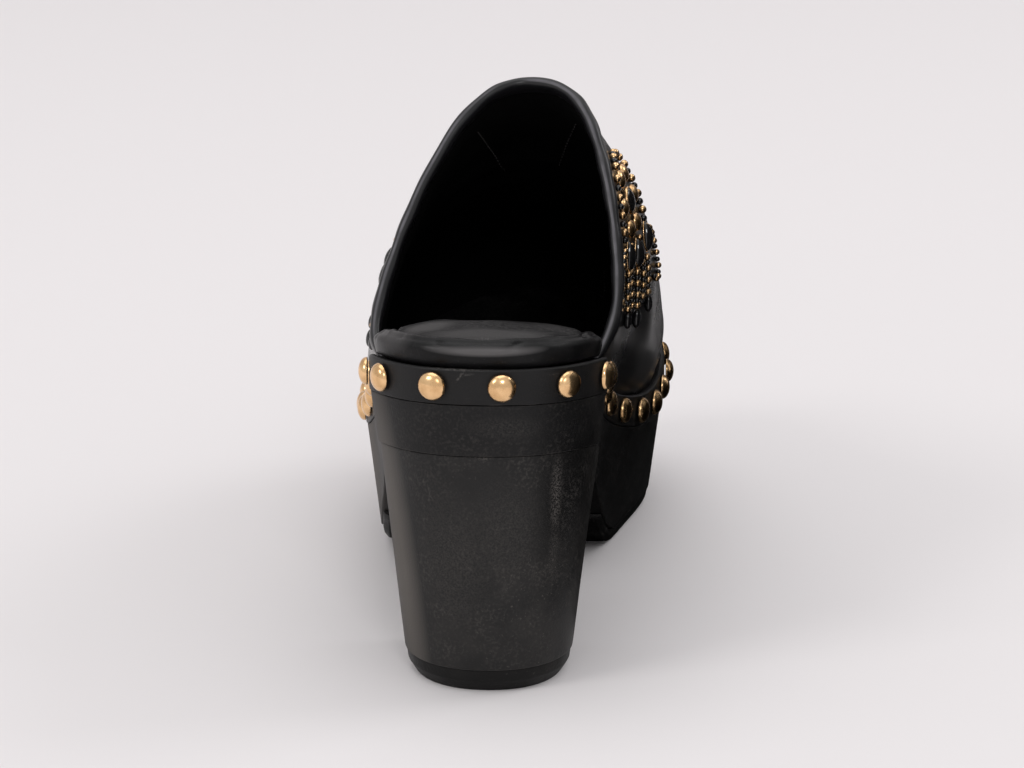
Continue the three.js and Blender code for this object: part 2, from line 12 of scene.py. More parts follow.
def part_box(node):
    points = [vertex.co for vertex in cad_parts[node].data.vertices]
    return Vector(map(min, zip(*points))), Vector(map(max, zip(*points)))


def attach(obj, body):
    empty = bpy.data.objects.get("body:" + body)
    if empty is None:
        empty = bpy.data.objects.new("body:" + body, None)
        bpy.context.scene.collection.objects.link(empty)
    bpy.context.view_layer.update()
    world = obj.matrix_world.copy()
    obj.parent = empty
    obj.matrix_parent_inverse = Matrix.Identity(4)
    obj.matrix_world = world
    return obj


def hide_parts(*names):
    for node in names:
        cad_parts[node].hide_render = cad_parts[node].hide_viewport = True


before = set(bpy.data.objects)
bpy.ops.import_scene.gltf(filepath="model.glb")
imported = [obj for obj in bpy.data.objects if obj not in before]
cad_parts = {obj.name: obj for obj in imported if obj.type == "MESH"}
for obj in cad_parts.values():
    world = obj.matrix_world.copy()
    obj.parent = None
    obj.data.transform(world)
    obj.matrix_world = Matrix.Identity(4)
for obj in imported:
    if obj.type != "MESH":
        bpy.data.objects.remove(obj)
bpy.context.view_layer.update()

# The studio: a pale floor that curves up into a wall, a soft light high on the left behind the camera, one
# on the right beyond the toe, a wide one overhead and a weak fill behind the camera. The camera stands
# behind the heel, a little above the shoe.
CAMERA_AT = Vector((0.0519, -1.0194, 0.3473))
CAMERA_DOWN = math.radians(16.11)
FOCAL_PIXELS = 1422.0
AIM_PIXEL = (443.0, 376.0)
camera_data = bpy.data.cameras.new("camera")
camera_data.sensor_width = 36.0
camera_data.lens = 119.0
camera_data.clip_start = 0.02
camera = bpy.data.objects.new("camera", camera_data)
bpy.context.scene.collection.objects.link(camera)
bpy.context.scene.camera = camera


def sight_line(pixel):
    """The direction from the camera through a point of the 1024 by 768 picture before it is framed."""
    ahead = Vector((0.0, math.cos(CAMERA_DOWN), -math.sin(CAMERA_DOWN)))
    above = Vector((0.0, math.sin(CAMERA_DOWN), math.cos(CAMERA_DOWN)))
    beside = Vector((1.0, 0.0, 0.0))
    u = (pixel[0] - 512.0) / FOCAL_PIXELS
    v = (384.0 - pixel[1]) / FOCAL_PIXELS
    return (ahead + u * beside + v * above).normalized()


camera.location = CAMERA_AT
camera.rotation_euler = sight_line(AIM_PIXEL).to_track_quat("-Z", "Y").to_euler()

FLOOR_HALF_WIDTH = 4.0
FLOOR_FRONT = -4.0
WALL_START = 1.5
WALL_RADIUS = 1.4
WALL_HEIGHT = 3.2
WALL_STEPS = 18
floor_bm = bmesh.new()
edge = bmesh.ops.create_vert(floor_bm, co=(-FLOOR_HALF_WIDTH, FLOOR_FRONT, 0.0))["vert"][0]
rail = [edge]
for step in range(WALL_STEPS + 1):
    angle = math.radians(90.0 * step / WALL_STEPS)
    back = WALL_START + WALL_RADIUS * math.sin(angle)
    spot = Vector((-FLOOR_HALF_WIDTH, back, WALL_RADIUS * (1 - math.cos(angle))))
    rail.append(bmesh.ops.create_vert(floor_bm, co=spot)["vert"][0])
top = Vector((-FLOOR_HALF_WIDTH, WALL_START + WALL_RADIUS, WALL_HEIGHT))
rail.append(bmesh.ops.create_vert(floor_bm, co=top)["vert"][0])
rail_edges = [floor_bm.edges.new(pair) for pair in zip(rail, rail[1:])]
sweep = bmesh.ops.extrude_edge_only(floor_bm, edges=rail_edges)
far_side = [v for v in sweep["geom"] if isinstance(v, bmesh.types.BMVert)]
bmesh.ops.translate(floor_bm, verts=far_side, vec=(2 * FLOOR_HALF_WIDTH, 0.0, 0.0))
bmesh.ops.recalc_face_normals(floor_bm, faces=floor_bm.faces)
for face in floor_bm.faces:
    face.smooth = True
    if face.normal.z < -0.5:
        face.normal_flip()
floor_mesh = bpy.data.meshes.new("floor")
floor_bm.to_mesh(floor_mesh)
floor_bm.free()
floor = bpy.data.objects.new("floor", floor_mesh)
bpy.context.scene.collection.objects.link(floor)
paper = bpy.data.materials.new("seamless_paper")
paper.use_nodes = True
paper_shader = paper.node_tree.nodes["Principled BSDF"]
paper_shader.inputs["Base Color"].default_value = (0.77, 0.745, 0.752, 1.0)
paper_shader.inputs["Roughness"].default_value = 0.9
paper_shader.inputs["Specular IOR Level"].default_value = 0.1
floor_mesh.materials.append(paper)

SHOE_MIDDLE = Vector((0.0, 0.0, 0.08))


def soft_light(name, at, size, power, tint):
    """A square softbox that faces the shoe."""
    data = bpy.data.lights.new(name, "AREA")
    data.shape = "SQUARE"
    data.size = size
    data.energy = power
    data.color = tint
    lamp = bpy.data.objects.new(name, data)
    bpy.context.scene.collection.objects.link(lamp)
    lamp.location = at
    lamp.rotation_euler = (SHOE_MIDDLE - Vector(at)).to_track_quat("-Z", "Y").to_euler()


soft_light("left_softbox", (-2.0, -1.5, 1.9), 0.9, 17.0, (1.0, 0.985, 0.97))
soft_light("right_softbox", (2.2, 0.9, 1.8), 1.2, 14.0, (1.0, 1.0, 1.0))
soft_light("overhead_softbox", (-0.3, 0.3, 3.0), 2.6, 25.0, (1.0, 1.0, 1.0))
soft_light("front_fill", (0.5, -2.3, 1.5), 0.5, 8.0, (1.0, 1.0, 1.0))
world = bpy.data.worlds.new("studio")
world.use_nodes = True
world.node_tree.nodes["Background"].inputs["Color"].default_value = (0.96, 0.95, 0.955, 1.0)
world.node_tree.nodes["Background"].inputs["Strength"].default_value = 0.68
bpy.context.scene.world = world

# Black cards stand and lie close on the right, seen by reflections only, so that side of the leather
# stays deep. A window between them leaves one soft gleam on the vamp.
CARD_PANELS = [
    [(0.072, -0.155, 0.001), (0.062, -0.02, 0.001), (0.066, -0.02, 0.150), (0.072, -0.155, 0.150)],
    [(0.066, -0.02, 0.001), (0.066, 0.054, 0.001), (0.066, 0.054, 0.150), (0.066, -0.02, 0.150)],
    [(0.066, 0.054, 0.001), (0.066, 0.066, 0.001), (0.066, 0.066, 0.048), (0.066, 0.054, 0.048)],
    [(0.066, 0.066, 0.001), (0.066, 0.400, 0.001), (0.066, 0.400, 0.150), (0.066, 0.066, 0.150)],
    [(-0.040, -0.065, 0.001), (0.072, -0.065, 0.001), (0.066, 0.110, 0.001), (-0.040, 0.110, 0.001)],
    [(0.040, 0.110, 0.001), (0.066, 0.110, 0.001), (0.066, 0.400, 0.001), (0.040, 0.400, 0.001)],
]
card_bm = bmesh.new()
for panel in CARD_PANELS:
    card_bm.faces.new([bmesh.ops.create_vert(card_bm, co=corner)["vert"][0] for corner in panel])
card_mesh = bpy.data.meshes.new("black_card")
card_bm.to_mesh(card_mesh)
card_bm.free()
card = bpy.data.objects.new("black_card", card_mesh)
bpy.context.scene.collection.objects.link(card)
card.visible_camera = False
card.visible_diffuse = False
card.visible_shadow = False
card_paper = bpy.data.materials.new("black_card")
card_paper.use_nodes = True
card_shader = card_paper.node_tree.nodes["Principled BSDF"]
card_shader.inputs["Base Color"].default_value = (0.004, 0.004, 0.004, 1.0)
card_mesh.materials.append(card_paper)
bpy.context.scene.view_settings.view_transform = "Standard"

# Sole and heel: light wood wrapped in thin black leather, glued and pulled tight, so only a faint grain,
# fine scratches and rubbed edges show. The heel's wrap ends in a seam under the seat. Soft pale patches
# on the heel's left and right edges and on the platform's left side are painted highlights.
SMOOTH_LEVEL = 2
MERGE_DISTANCE = 3e-6
EDGE_WIDTH = 0.00035


def from_solid(name, node, sharp_degrees=38.0, edge_width=EDGE_WIDTH, level=SMOOTH_LEVEL):
    """A smooth copy of a CAD solid: its triangles joined to quads, its sharp edges rounded narrowly."""
    bm = bmesh.new()
    bm.from_mesh(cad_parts[node].data)
    bmesh.ops.remove_doubles(bm, verts=bm.verts, dist=MERGE_DISTANCE)
    bmesh.ops.join_triangles(
        bm,
        faces=bm.faces,
        cmp_seam=False,
        cmp_sharp=False,
        cmp_uvs=False,
        cmp_vcols=False,
        cmp_materials=False,
        angle_face_threshold=math.radians(55.0),
        angle_shape_threshold=math.radians(180.0),
    )
    limit = math.radians(sharp_degrees)
    corners = [e for e in bm.edges if e.is_manifold and e.calc_face_angle() > limit]
    if corners:
        bmesh.ops.bevel(
            bm,
            geom=corners,
            offset=edge_width,
            offset_type="OFFSET",
            segments=2,
            profile=0.5,
            affect="EDGES",
            clamp_overlap=True,
            material=-1,
        )
    return finished(name, bm, level)


def finished(name, bm, level=0):
    """Turns a bmesh into a smooth object, subdivided when a level is given."""
    for face in bm.faces:
        face.smooth = True
    mesh = bpy.data.meshes.new(name)
    bm.to_mesh(mesh)
    bm.free()
    piece = bpy.data.objects.new(name, mesh)
    bpy.context.scene.collection.objects.link(piece)
    if level:
        smooth = piece.modifiers.new("smooth", "SUBSURF")
        smooth.levels = level
        smooth.render_levels = level
    return piece


def settle(piece):
    """Applies a piece's modifiers, so its fine points can be moved."""
    seen = piece.evaluated_get(bpy.context.evaluated_depsgraph_get())
    mesh = bpy.data.meshes.new_from_object(seen)
    piece.modifiers.clear()
    piece.data = mesh


def fine_points(piece):
    """The places and normals of a settled piece's points as arrays."""
    mesh = piece.data
    co = np.empty(len(mesh.vertices) * 3)
    mesh.vertices.foreach_get("co", co)
    no = np.empty(len(mesh.vertices) * 3)
    mesh.vertices.foreach_get("normal", no)
    return co.reshape(-1, 3), no.reshape(-1, 3)


def move_points(piece, co):
    piece.data.vertices.foreach_set("co", co.astype(np.float32).ravel())
    piece.data.update()


def reach_along(co, path, width):
    """How near each point lies to a path: 1 on it, fading over the width and towards both ends."""
    path = np.array(path)
    best = np.full(len(co), 1e9)
    share = np.zeros(len(co))
    lengths = np.linalg.norm(np.diff(path, axis=0), axis=1)
    total = lengths.sum()
    run = 0.0
    for a, b, length in zip(path, path[1:], lengths):
        t = np.clip(((co - a) @ (b - a)) / length**2, 0.0, 1.0)
        far = np.linalg.norm(co - (a + t[:, None] * (b - a)), axis=1)
        nearer = far < best
        best = np.where(nearer, far, best)
        share = np.where(nearer, (run + t * length) / total, share)
        run += length
    return np.exp(-((best / width) ** 2)) * np.sin(np.pi * np.clip(share, 0.02, 0.98)) ** 0.6


def group(name, inputs, outputs):
    """An empty shader group with the named number inputs and outputs."""
    tree = bpy.data.node_groups.new(name, "ShaderNodeTree")
    for label, value in inputs.items():
        socket = tree.interface.new_socket(name=label, in_out="INPUT", socket_type="NodeSocketFloat")
        socket.default_value = value
    for label in outputs:
        tree.interface.new_socket(name=label, in_out="OUTPUT", socket_type="NodeSocketFloat")
    return tree, tree.nodes.new("NodeGroupInput"), tree.nodes.new("NodeGroupOutput")


def sum_node(tree, operation, a, b):
    """A math node in a tree. a and b are sockets or numbers."""
    node = tree.nodes.new("ShaderNodeMath")
    node.operation = operation
    for slot, value in zip(node.inputs, (a, b)):
        if isinstance(value, (int, float)):
            slot.default_value = value
        else:
            tree.links.new(value, slot)
    return node.outputs[0]


def ramp_node(tree, value, low, high):
    """Maps a value from low to high onto 0 to 1, held at both ends."""
    node = tree.nodes.new("ShaderNodeMapRange")
    node.inputs["From Min"].default_value = low
    node.inputs["From Max"].default_value = high
    tree.links.new(value, node.inputs["Value"])
    return node.outputs["Result"]


def noise_node(tree, vector, scale, detail=3.0):
    node = tree.nodes.new("ShaderNodeTexNoise")
    tree.links.new(vector, node.inputs["Vector"])
    node.inputs["Scale"].default_value = scale
    node.inputs["Detail"].default_value = detail
    return node.outputs["Fac"]


# Leather grain: fine closed pebbles over slow waves of the hide. Scales are in features per metre.
HIDE_WAVES = 130.0
HIDE_MOTTLE = 38.0
grain, grain_in, grain_out = group("leather_grain", {"Scale": 1500.0}, ["Height", "Mottle"])
place = grain.nodes.new("ShaderNodeTexCoord").outputs["Object"]
pebble = grain.nodes.new("ShaderNodeTexVoronoi")
grain.links.new(place, pebble.inputs["Vector"])
grain.links.new(grain_in.outputs["Scale"], pebble.inputs["Scale"])
hide = noise_node(grain, place, HIDE_WAVES, 4.0)
mottle = noise_node(grain, place, HIDE_MOTTLE, 5.0)
height = sum_node(grain, "ADD", sum_node(grain, "MULTIPLY", pebble.outputs["Distance"], 0.5), hide)
grain.links.new(height, grain_out.inputs["Height"])
grain.links.new(mottle, grain_out.inputs["Mottle"])

# Wear: scratches are thin broken lines, dust is pale specks that gather in patches, and rubbed edges
# follow the form's sharp corners.
SCRATCH_PATCHES = 55.0
SCRATCH_BREAKS = 420.0
SPECK_SCALE = 1500.0
DUST_DRIFT = 32.0
DUST_HAZE = 85.0
EDGE_BREAKS = 240.0
wear, wear_in, wear_out = group("wear", {"Scratches": 0.5, "Dust": 0.5}, ["Scratches", "Dust", "Edges"])
place = wear.nodes.new("ShaderNodeTexCoord").outputs["Object"]
stretch = wear.nodes.new("ShaderNodeMapping")
stretch.inputs["Rotation"].default_value = (0.5, 0.35, 0.9)
stretch.inputs["Scale"].default_value = (260.0, 40.0, 70.0)
wear.links.new(place, stretch.inputs["Vector"])
crackle = wear.nodes.new("ShaderNodeTexVoronoi")
crackle.feature = "DISTANCE_TO_EDGE"
crackle.inputs["Scale"].default_value = 1.0
wear.links.new(stretch.outputs["Vector"], crackle.inputs["Vector"])
thin = ramp_node(wear, crackle.outputs["Distance"], 0.022, 0.004)
patches = ramp_node(wear, noise_node(wear, place, SCRATCH_PATCHES, 4.0), 0.60, 0.72)
broken = ramp_node(wear, noise_node(wear, place, SCRATCH_BREAKS, 2.0), 0.45, 0.60)
scratches = sum_node(wear, "MULTIPLY", sum_node(wear, "MULTIPLY", thin, patches), broken)
scratches = sum_node(wear, "MULTIPLY", scratches, wear_in.outputs["Scratches"])
wear.links.new(scratches, wear_out.inputs["Scratches"])
specks = ramp_node(wear, noise_node(wear, place, SPECK_SCALE, 1.0), 0.67, 0.76)
drift = ramp_node(wear, noise_node(wear, place, DUST_DRIFT, 4.0), 0.46, 0.66)
haze = ramp_node(wear, noise_node(wear, place, DUST_HAZE, 5.0), 0.42, 0.75)
haze = sum_node(wear, "MULTIPLY", haze, 0.35)
dusty = sum_node(wear, "MULTIPLY", drift, sum_node(wear, "MAXIMUM", specks, haze))
wear.links.new(sum_node(wear, "MULTIPLY", dusty, wear_in.outputs["Dust"]), wear_out.inputs["Dust"])
bend = wear.nodes.new("ShaderNodeNewGeometry").outputs["Pointiness"]
ragged = ramp_node(wear, noise_node(wear, place, EDGE_BREAKS, 3.0), 0.38, 0.62)
rubbed_edges = sum_node(wear, "MULTIPLY", ramp_node(wear, bend, 0.52, 0.60), ragged)
wear.links.new(rubbed_edges, wear_out.inputs["Edges"])


def mark_node(tree, at, size, turn):
    """A soft patch, used for wear and for painted highlights, 1 in its middle and 0 at its edge: at and
    size in metres, turn in degrees.
    """
    frame_in = tree.nodes.new("ShaderNodeTexCoord").outputs["Object"]
    lay = tree.nodes.new("ShaderNodeMapping")
    lay.vector_type = "TEXTURE"
    lay.inputs["Location"].default_value = at
    lay.inputs["Rotation"].default_value = [math.radians(a) for a in turn]
    lay.inputs["Scale"].default_value = size
    tree.links.new(frame_in, lay.inputs["Vector"])
    ball = tree.nodes.new("ShaderNodeTexGradient")
    ball.gradient_type = "SPHERICAL"
    tree.links.new(lay.outputs["Vector"], ball.inputs["Vector"])
    return ball.outputs["Fac"]


HIDE_DARK = 0.7
HIDE_LIGHT = 1.35
SPECKLE_SCALE = 1100.0
SPECKLE_PATCHES = 95.0
CRUMB_SCALE = 2100.0
PAINTED_SHEEN_PATCHES = 140.0
WEAR_AND_SHEEN_ROUGHENS = 0.25
CUT_DEPTH = 0.3
RELIEF = 0.0003


def leather(name, colour, wear_and_sheen_colour, look, marks_list=()):
    """A leather finish. look holds its roughness, gloss, grain, wear and any painted sheen, marks_list its
    patches, some rubbed wear and some painted highlights.
    """
    finish = bpy.data.materials.new(name)
    finish.use_nodes = True
    tree = finish.node_tree
    shader = tree.nodes["Principled BSDF"]
    shader.inputs["Specular IOR Level"].default_value = look["gloss"]
    shader.inputs["Coat Weight"].default_value = look.get("coat", 0.0)
    shader.inputs["Coat Roughness"].default_value = 0.2
    hide_grain = tree.nodes.new("ShaderNodeGroup")
    hide_grain.node_tree = grain
    hide_grain.inputs["Scale"].default_value = look["grain_scale"]
    marks = tree.nodes.new("ShaderNodeGroup")
    marks.node_tree = wear
    marks.inputs["Scratches"].default_value = look["scratches"]
    marks.inputs["Dust"].default_value = look["dust"]
    tone = tree.nodes.new("ShaderNodeMix")
    tone.data_type = "RGBA"
    tree.links.new(ramp_node(tree, hide_grain.outputs["Mottle"], 0.35, 0.65), tone.inputs["Factor"])
    tone.inputs["A"].default_value = (*[c * HIDE_DARK for c in colour], 1.0)
    tone.inputs["B"].default_value = (*[c * HIDE_LIGHT for c in colour], 1.0)
    mask = sum_node(tree, "MAXIMUM", marks.outputs["Scratches"], marks.outputs["Dust"])
    corners = sum_node(tree, "MULTIPLY", marks.outputs["Edges"], look["edges"])
    mask = sum_node(tree, "MAXIMUM", mask, corners)
    place = tree.nodes.new("ShaderNodeTexCoord").outputs["Object"]
    speckle = ramp_node(tree, noise_node(tree, place, SPECKLE_SCALE, 6.0), 0.48, 0.76)
    gathered = ramp_node(tree, noise_node(tree, place, SPECKLE_PATCHES, 4.0), 0.34, 0.66)
    speckle = sum_node(tree, "MULTIPLY", speckle, gathered)
    speckle = sum_node(tree, "MULTIPLY", speckle, look.get("speckle", 0.0))
    mask = sum_node(tree, "ADD", mask, speckle)
    crumbled = ramp_node(tree, noise_node(tree, place, CRUMB_SCALE, 4.0), 0.42, 0.64)
    # Painted sheen: the colour is lightened in uneven patches where the surface faces the look's crest
    # direction.
    if "crest" in look:
        facing = tree.nodes.new("ShaderNodeVectorMath")
        facing.operation = "DOT_PRODUCT"
        tree.links.new(tree.nodes.new("ShaderNodeTexCoord").outputs["Normal"], facing.inputs[0])
        facing.inputs[1].default_value = look["crest"]
        painted_sheen = ramp_node(tree, facing.outputs["Value"], look["crest_from"], 1.0)
        uneven = ramp_node(tree, noise_node(tree, place, PAINTED_SHEEN_PATCHES, 3.0), 0.1, 0.6)
        painted_sheen = sum_node(tree, "MULTIPLY", painted_sheen, uneven)
        mask = sum_node(tree, "MAXIMUM", mask, painted_sheen)
    for spot in marks_list:
        patch = mark_node(tree, spot["at"], spot["size"], spot["turn"])
        patch = sum_node(tree, "MULTIPLY", ramp_node(tree, patch, 0.0, 0.6), spot["strength"])
        if spot.get("broken", True):
            patch = sum_node(tree, "MULTIPLY", patch, crumbled)
        mask = sum_node(tree, "MAXIMUM", mask, patch)
    wear_and_sheen_mix = tree.nodes.new("ShaderNodeMix")
    wear_and_sheen_mix.data_type = "RGBA"
    tree.links.new(mask, wear_and_sheen_mix.inputs["Factor"])
    tree.links.new(tone.outputs["Result"], wear_and_sheen_mix.inputs["A"])
    wear_and_sheen_mix.inputs["B"].default_value = (*wear_and_sheen_colour, 1.0)
    tree.links.new(wear_and_sheen_mix.outputs["Result"], shader.inputs["Base Color"])
    patchy = sum_node(tree, "MULTIPLY", ramp_node(tree, hide_grain.outputs["Mottle"], 0.3, 0.7), 0.16)
    rough = sum_node(tree, "ADD", patchy, look["roughness"] - 0.08)
    rough = sum_node(tree, "ADD", rough, sum_node(tree, "MULTIPLY", mask, WEAR_AND_SHEEN_ROUGHENS))
    tree.links.new(rough, shader.inputs["Roughness"])
    bump = tree.nodes.new("ShaderNodeBump")
    bump.inputs["Strength"].default_value = look["grain"]
    bump.inputs["Distance"].default_value = RELIEF
    cuts = sum_node(tree, "MULTIPLY", marks.outputs["Scratches"], CUT_DEPTH)
    relief = sum_node(tree, "SUBTRACT", hide_grain.outputs["Height"], cuts)
    tree.links.new(relief, bump.inputs["Height"])
    tree.links.new(bump.outputs["Normal"], shader.inputs["Normal"])
    return finish


HEEL_LOOK = {
    "roughness": 0.50, "gloss": 0.29, "grain_scale": 1700.0, "grain": 0.25,
    "scratches": 0.45, "dust": 0.55, "edges": 0.35, "speckle": 0.42,
}
PLATFORM_LOOK = HEEL_LOOK | {"gloss": 0.25, "dust": 0.4, "speckle": 0.25}
WRAP_WEAR_AND_HIGHLIGHT_MARKS = [
    {
        "at": (0.0188, -0.1180, 0.0585), "size": (0.0022, 0.0100, 0.0170),
        "turn": (0, 2, 0), "strength": 0.75,
    },
    {
        "at": (0.0180, -0.1180, 0.0400), "size": (0.0022, 0.0100, 0.0160),
        "turn": (0, 4, 0), "strength": 0.6,
    },
    {
        "at": (-0.0150, -0.1200, 0.0350), "size": (0.0200, 0.0080, 0.0320),
        "turn": (0, 12, 0), "strength": 0.25,
    },
    {
        "at": (0.0060, -0.1200, 0.0480), "size": (0.0140, 0.0080, 0.0240),
        "turn": (0, -8, 0), "strength": 0.22,
    },
    # Painted highlight: the lit band along the heel's left edge.
    {
        "at": (-0.0290, -0.1090, 0.0420), "size": (0.0085, 0.0190, 0.0800), "turn": (0, -8, 0),
        "strength": 1.0, "broken": False,
    },
    # Painted highlight: the lit left side of the platform.
    {
        "at": (-0.0465, 0.0100, 0.0420), "size": (0.0140, 0.0650, 0.0380), "turn": (0, 0, 0),
        "strength": 1.0, "broken": False,
    },
    # Painted highlight: the thin lit rim line along the heel's right edge.
    {
        "at": (0.0300, -0.1010, 0.0420), "size": (0.0013, 0.0300, 0.0600), "turn": (0, 8, 0),
        "strength": 0.4, "broken": False,
    },
    {
        "at": (-0.0015, -0.1260, 0.0723), "size": (0.0040, 0.0060, 0.0010),
        "turn": (0, 0, 0), "strength": 1.0,
    },
    {
        "at": (0.0103, -0.1260, 0.0723), "size": (0.0042, 0.0060, 0.0009),
        "turn": (0, 1, 0), "strength": 0.9,
    },
    {
        "at": (-0.0150, -0.1260, 0.0725), "size": (0.0045, 0.0060, 0.0005),
        "turn": (0, 2, 0), "strength": 0.6,
    },
    {
        "at": (-0.0180, -0.1200, 0.0170), "size": (0.0003, 0.0060, 0.0035),
        "turn": (0, 30, 0), "strength": 0.9,
    },
    {
        "at": (0.0080, -0.1250, 0.0810), "size": (0.0170, 0.0060, 0.0045),
        "turn": (0, 4, 0), "strength": 0.22,
    },
]
HEEL_BLACK = (0.0078, 0.0075, 0.0074)
PLATFORM_BLACK = (0.0050, 0.0048, 0.0050)
WRAP_WEAR_AND_HIGHLIGHT_COLOUR = (0.095, 0.086, 0.078)
heel_leather = leather("heel_leather", HEEL_BLACK, WRAP_WEAR_AND_HIGHLIGHT_COLOUR, HEEL_LOOK, WRAP_WEAR_AND_HIGHLIGHT_MARKS)
platform_leather = leather("platform_leather", PLATFORM_BLACK, WRAP_WEAR_AND_HIGHLIGHT_COLOUR, PLATFORM_LOOK, WRAP_WEAR_AND_HIGHLIGHT_MARKS)
WRAP_PIECES = [
    {
        "name": "platform_wrap", "node": "sole", "finish": platform_leather,
        "outward": 0.0005, "upward": 0.00022,
    },
    {
        "name": "heel_wrap", "node": "heel", "finish": heel_leather,
        "outward": 0.0003, "upward": 0.00025,
    },
]
for row in WRAP_PIECES:
    wrap = from_solid(row["name"], row["node"], edge_width=0.00016)
    settle(wrap)
    co, no = fine_points(wrap)
    level_normal = no * np.array([1.0, 1.0, 0.0])
    co = co + level_normal * row["outward"] + np.outer(np.clip(no[:, 2], 0, 1), (0, 0, row["upward"]))
    move_points(wrap, co)
    wrap.data.materials.clear()
    wrap.data.materials.append(row["finish"])
    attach(wrap, "root")
    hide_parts(row["node"])

# Heel tip and outsole: moulded black rubber, glued on. The tip's lower edge tucks in, and the outsole
# thins out up the ramp behind the tread.
rubber = bpy.data.materials.new("black_rubber")
rubber.use_nodes = True
tree = rubber.node_tree
shader = tree.nodes["Principled BSDF"]
shader.inputs["Specular IOR Level"].default_value = 0.18
marks = tree.nodes.new("ShaderNodeGroup")
marks.node_tree = wear
marks.inputs["Scratches"].default_value = 0.7
marks.inputs["Dust"].default_value = 0.4
tone = tree.nodes.new("ShaderNodeMix")
tone.data_type = "RGBA"
tone.inputs["A"].default_value = (0.0055, 0.0053, 0.0052, 1.0)
tone.inputs["B"].default_value = (0.075, 0.070, 0.064, 1.0)
mask = sum_node(tree, "MAXIMUM", marks.outputs["Scratches"], marks.outputs["Dust"])
mask = sum_node(tree, "MAXIMUM", mask, sum_node(tree, "MULTIPLY", marks.outputs["Edges"], 0.5))
tree.links.new(mask, tone.inputs["Factor"])
tree.links.new(tone.outputs["Result"], shader.inputs["Base Color"])
place = tree.nodes.new("ShaderNodeTexCoord").outputs["Object"]
tree.links.new(ramp_node(tree, noise_node(tree, place, 90.0, 4.0), -0.6, 1.6), shader.inputs["Roughness"])
bump = tree.nodes.new("ShaderNodeBump")
bump.inputs["Strength"].default_value = 0.35
bump.inputs["Distance"].default_value = RELIEF
tree.links.new(noise_node(tree, place, 1300.0, 2.0), bump.inputs["Height"])
tree.links.new(bump.outputs["Normal"], shader.inputs["Normal"])
for name, node in (("heel_tip_rubber", "heel_tip"), ("outsole_rubber", "outsole")):
    tread = from_solid(name, node, 24.0)
    tread.data.materials.append(rubber)
    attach(tread, "root")
    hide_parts(node)

# Rand: a strip of firm black leather, pulled round the sole's upper edge and held by the studs. Its
# edges are burnished, and behind the heel a pale broken line along its top edge is partly painted
# highlight of the lit edge and partly scratches.
RAND_LOOK = {
    "roughness": 0.46, "gloss": 0.26, "grain_scale": 1500.0, "grain": 0.2,
    "scratches": 0.7, "dust": 0.3, "edges": 0.7,
}
RAND_WEAR_AND_HIGHLIGHT_MARKS = [
    {
        "at": (-0.0075, -0.1270, 0.0965), "size": (0.0005, 0.0060, 0.0026),
        "turn": (0, 35, 0), "strength": 0.9,
    },
    # These three thin lines along the top edge are partly painted highlight of the lit edge, partly
    # scratches.
    {
        "at": (-0.0060, -0.1270, 0.0970), "size": (0.0030, 0.0060, 0.0005),
        "turn": (0, -8, 0), "strength": 0.7,
    },
    {
        "at": (0.0220, -0.1240, 0.0960), "size": (0.0080, 0.0080, 0.0006),
        "turn": (0, 0, 0), "strength": 0.5,
    },
    {
        "at": (-0.0110, -0.1265, 0.0985), "size": (0.0140, 0.0080, 0.0007),
        "turn": (0, 0, 0), "strength": 0.9,
    },
]
RAND_BLACK = (0.0062, 0.0060, 0.0062)
RAND_WEAR_AND_HIGHLIGHT_COLOUR = (0.080, 0.074, 0.070)
rand_leather = leather("rand_leather", RAND_BLACK, RAND_WEAR_AND_HIGHLIGHT_COLOUR, RAND_LOOK, RAND_WEAR_AND_HIGHLIGHT_MARKS)
rand = from_solid("rand_strip", "rand", edge_width=0.0003)
rand.data.materials.append(rand_leather)
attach(rand, "root")
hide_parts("rand")

# Studs: domed heads pressed from brass, gold plated, each on a shank driven through the rand. No two
# sit quite alike, and their crowns are lightly scratched.
HEAD_STEPS = 20


def seat_of(node, heart):
    """The middle of a head's foot, its outward direction and its long direction, from its CAD solid."""
    loose = np.array([v.co[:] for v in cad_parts[node].data.vertices])
    co = np.unique(loose.round(7), axis=0)
    middle = (co.max(0) + co.min(0)) / 2
    _, axes = np.linalg.eigh(np.cov((co - co.mean(0)).T))
    outward = axes[:, 0]
    if outward @ (middle - np.array(heart)) < 0:
        outward = -outward
    long_way = axes[:, 2]
    if long_way[2] < 0:
        long_way = -long_way
    rise = (co - middle) @ outward
    foot = middle + outward * rise.min()
    flat = (co - foot) - np.outer((co - foot) @ outward, outward)
    radius = np.linalg.norm(flat, axis=1).max()
    return Vector(foot), Vector(outward), Vector(long_way), radius, rise.max() - rise.min()


def spun(profile, steps):
    """A closed head spun about +Z from a profile of (radius, height) points."""
    bm = bmesh.new()
    points = [bmesh.ops.create_vert(bm, co=(r, 0.0, z))["vert"][0] for r, z in profile]
    edges = [bm.edges.new(pair) for pair in zip(points, points[1:])]
    bmesh.ops.spin(
        bm,
        geom=points + edges,
        cent=(0.0, 0.0, 0.0),
        axis=(0.0, 0.0, 1.0),
        dvec=(0.0, 0.0, 0.0),
        angle=2 * math.pi,
        steps=steps,
        use_merge=True,
    )
    bmesh.ops.remove_doubles(bm, verts=bm.verts, dist=1e-7)
    bmesh.ops.recalc_face_normals(bm, faces=bm.faces)
    mesh = bpy.data.meshes.new("head")
    bm.to_mesh(mesh)
    bm.free()
    return mesh


def stand(outward, up):
    """The turn that stands a head modelled on +Z along a direction, its own +Y as near up as can be."""
    z = outward.normalized()
    x = up.cross(z).normalized()
    y = z.cross(x)
    return Matrix((x, y, z)).transposed().to_4x4()


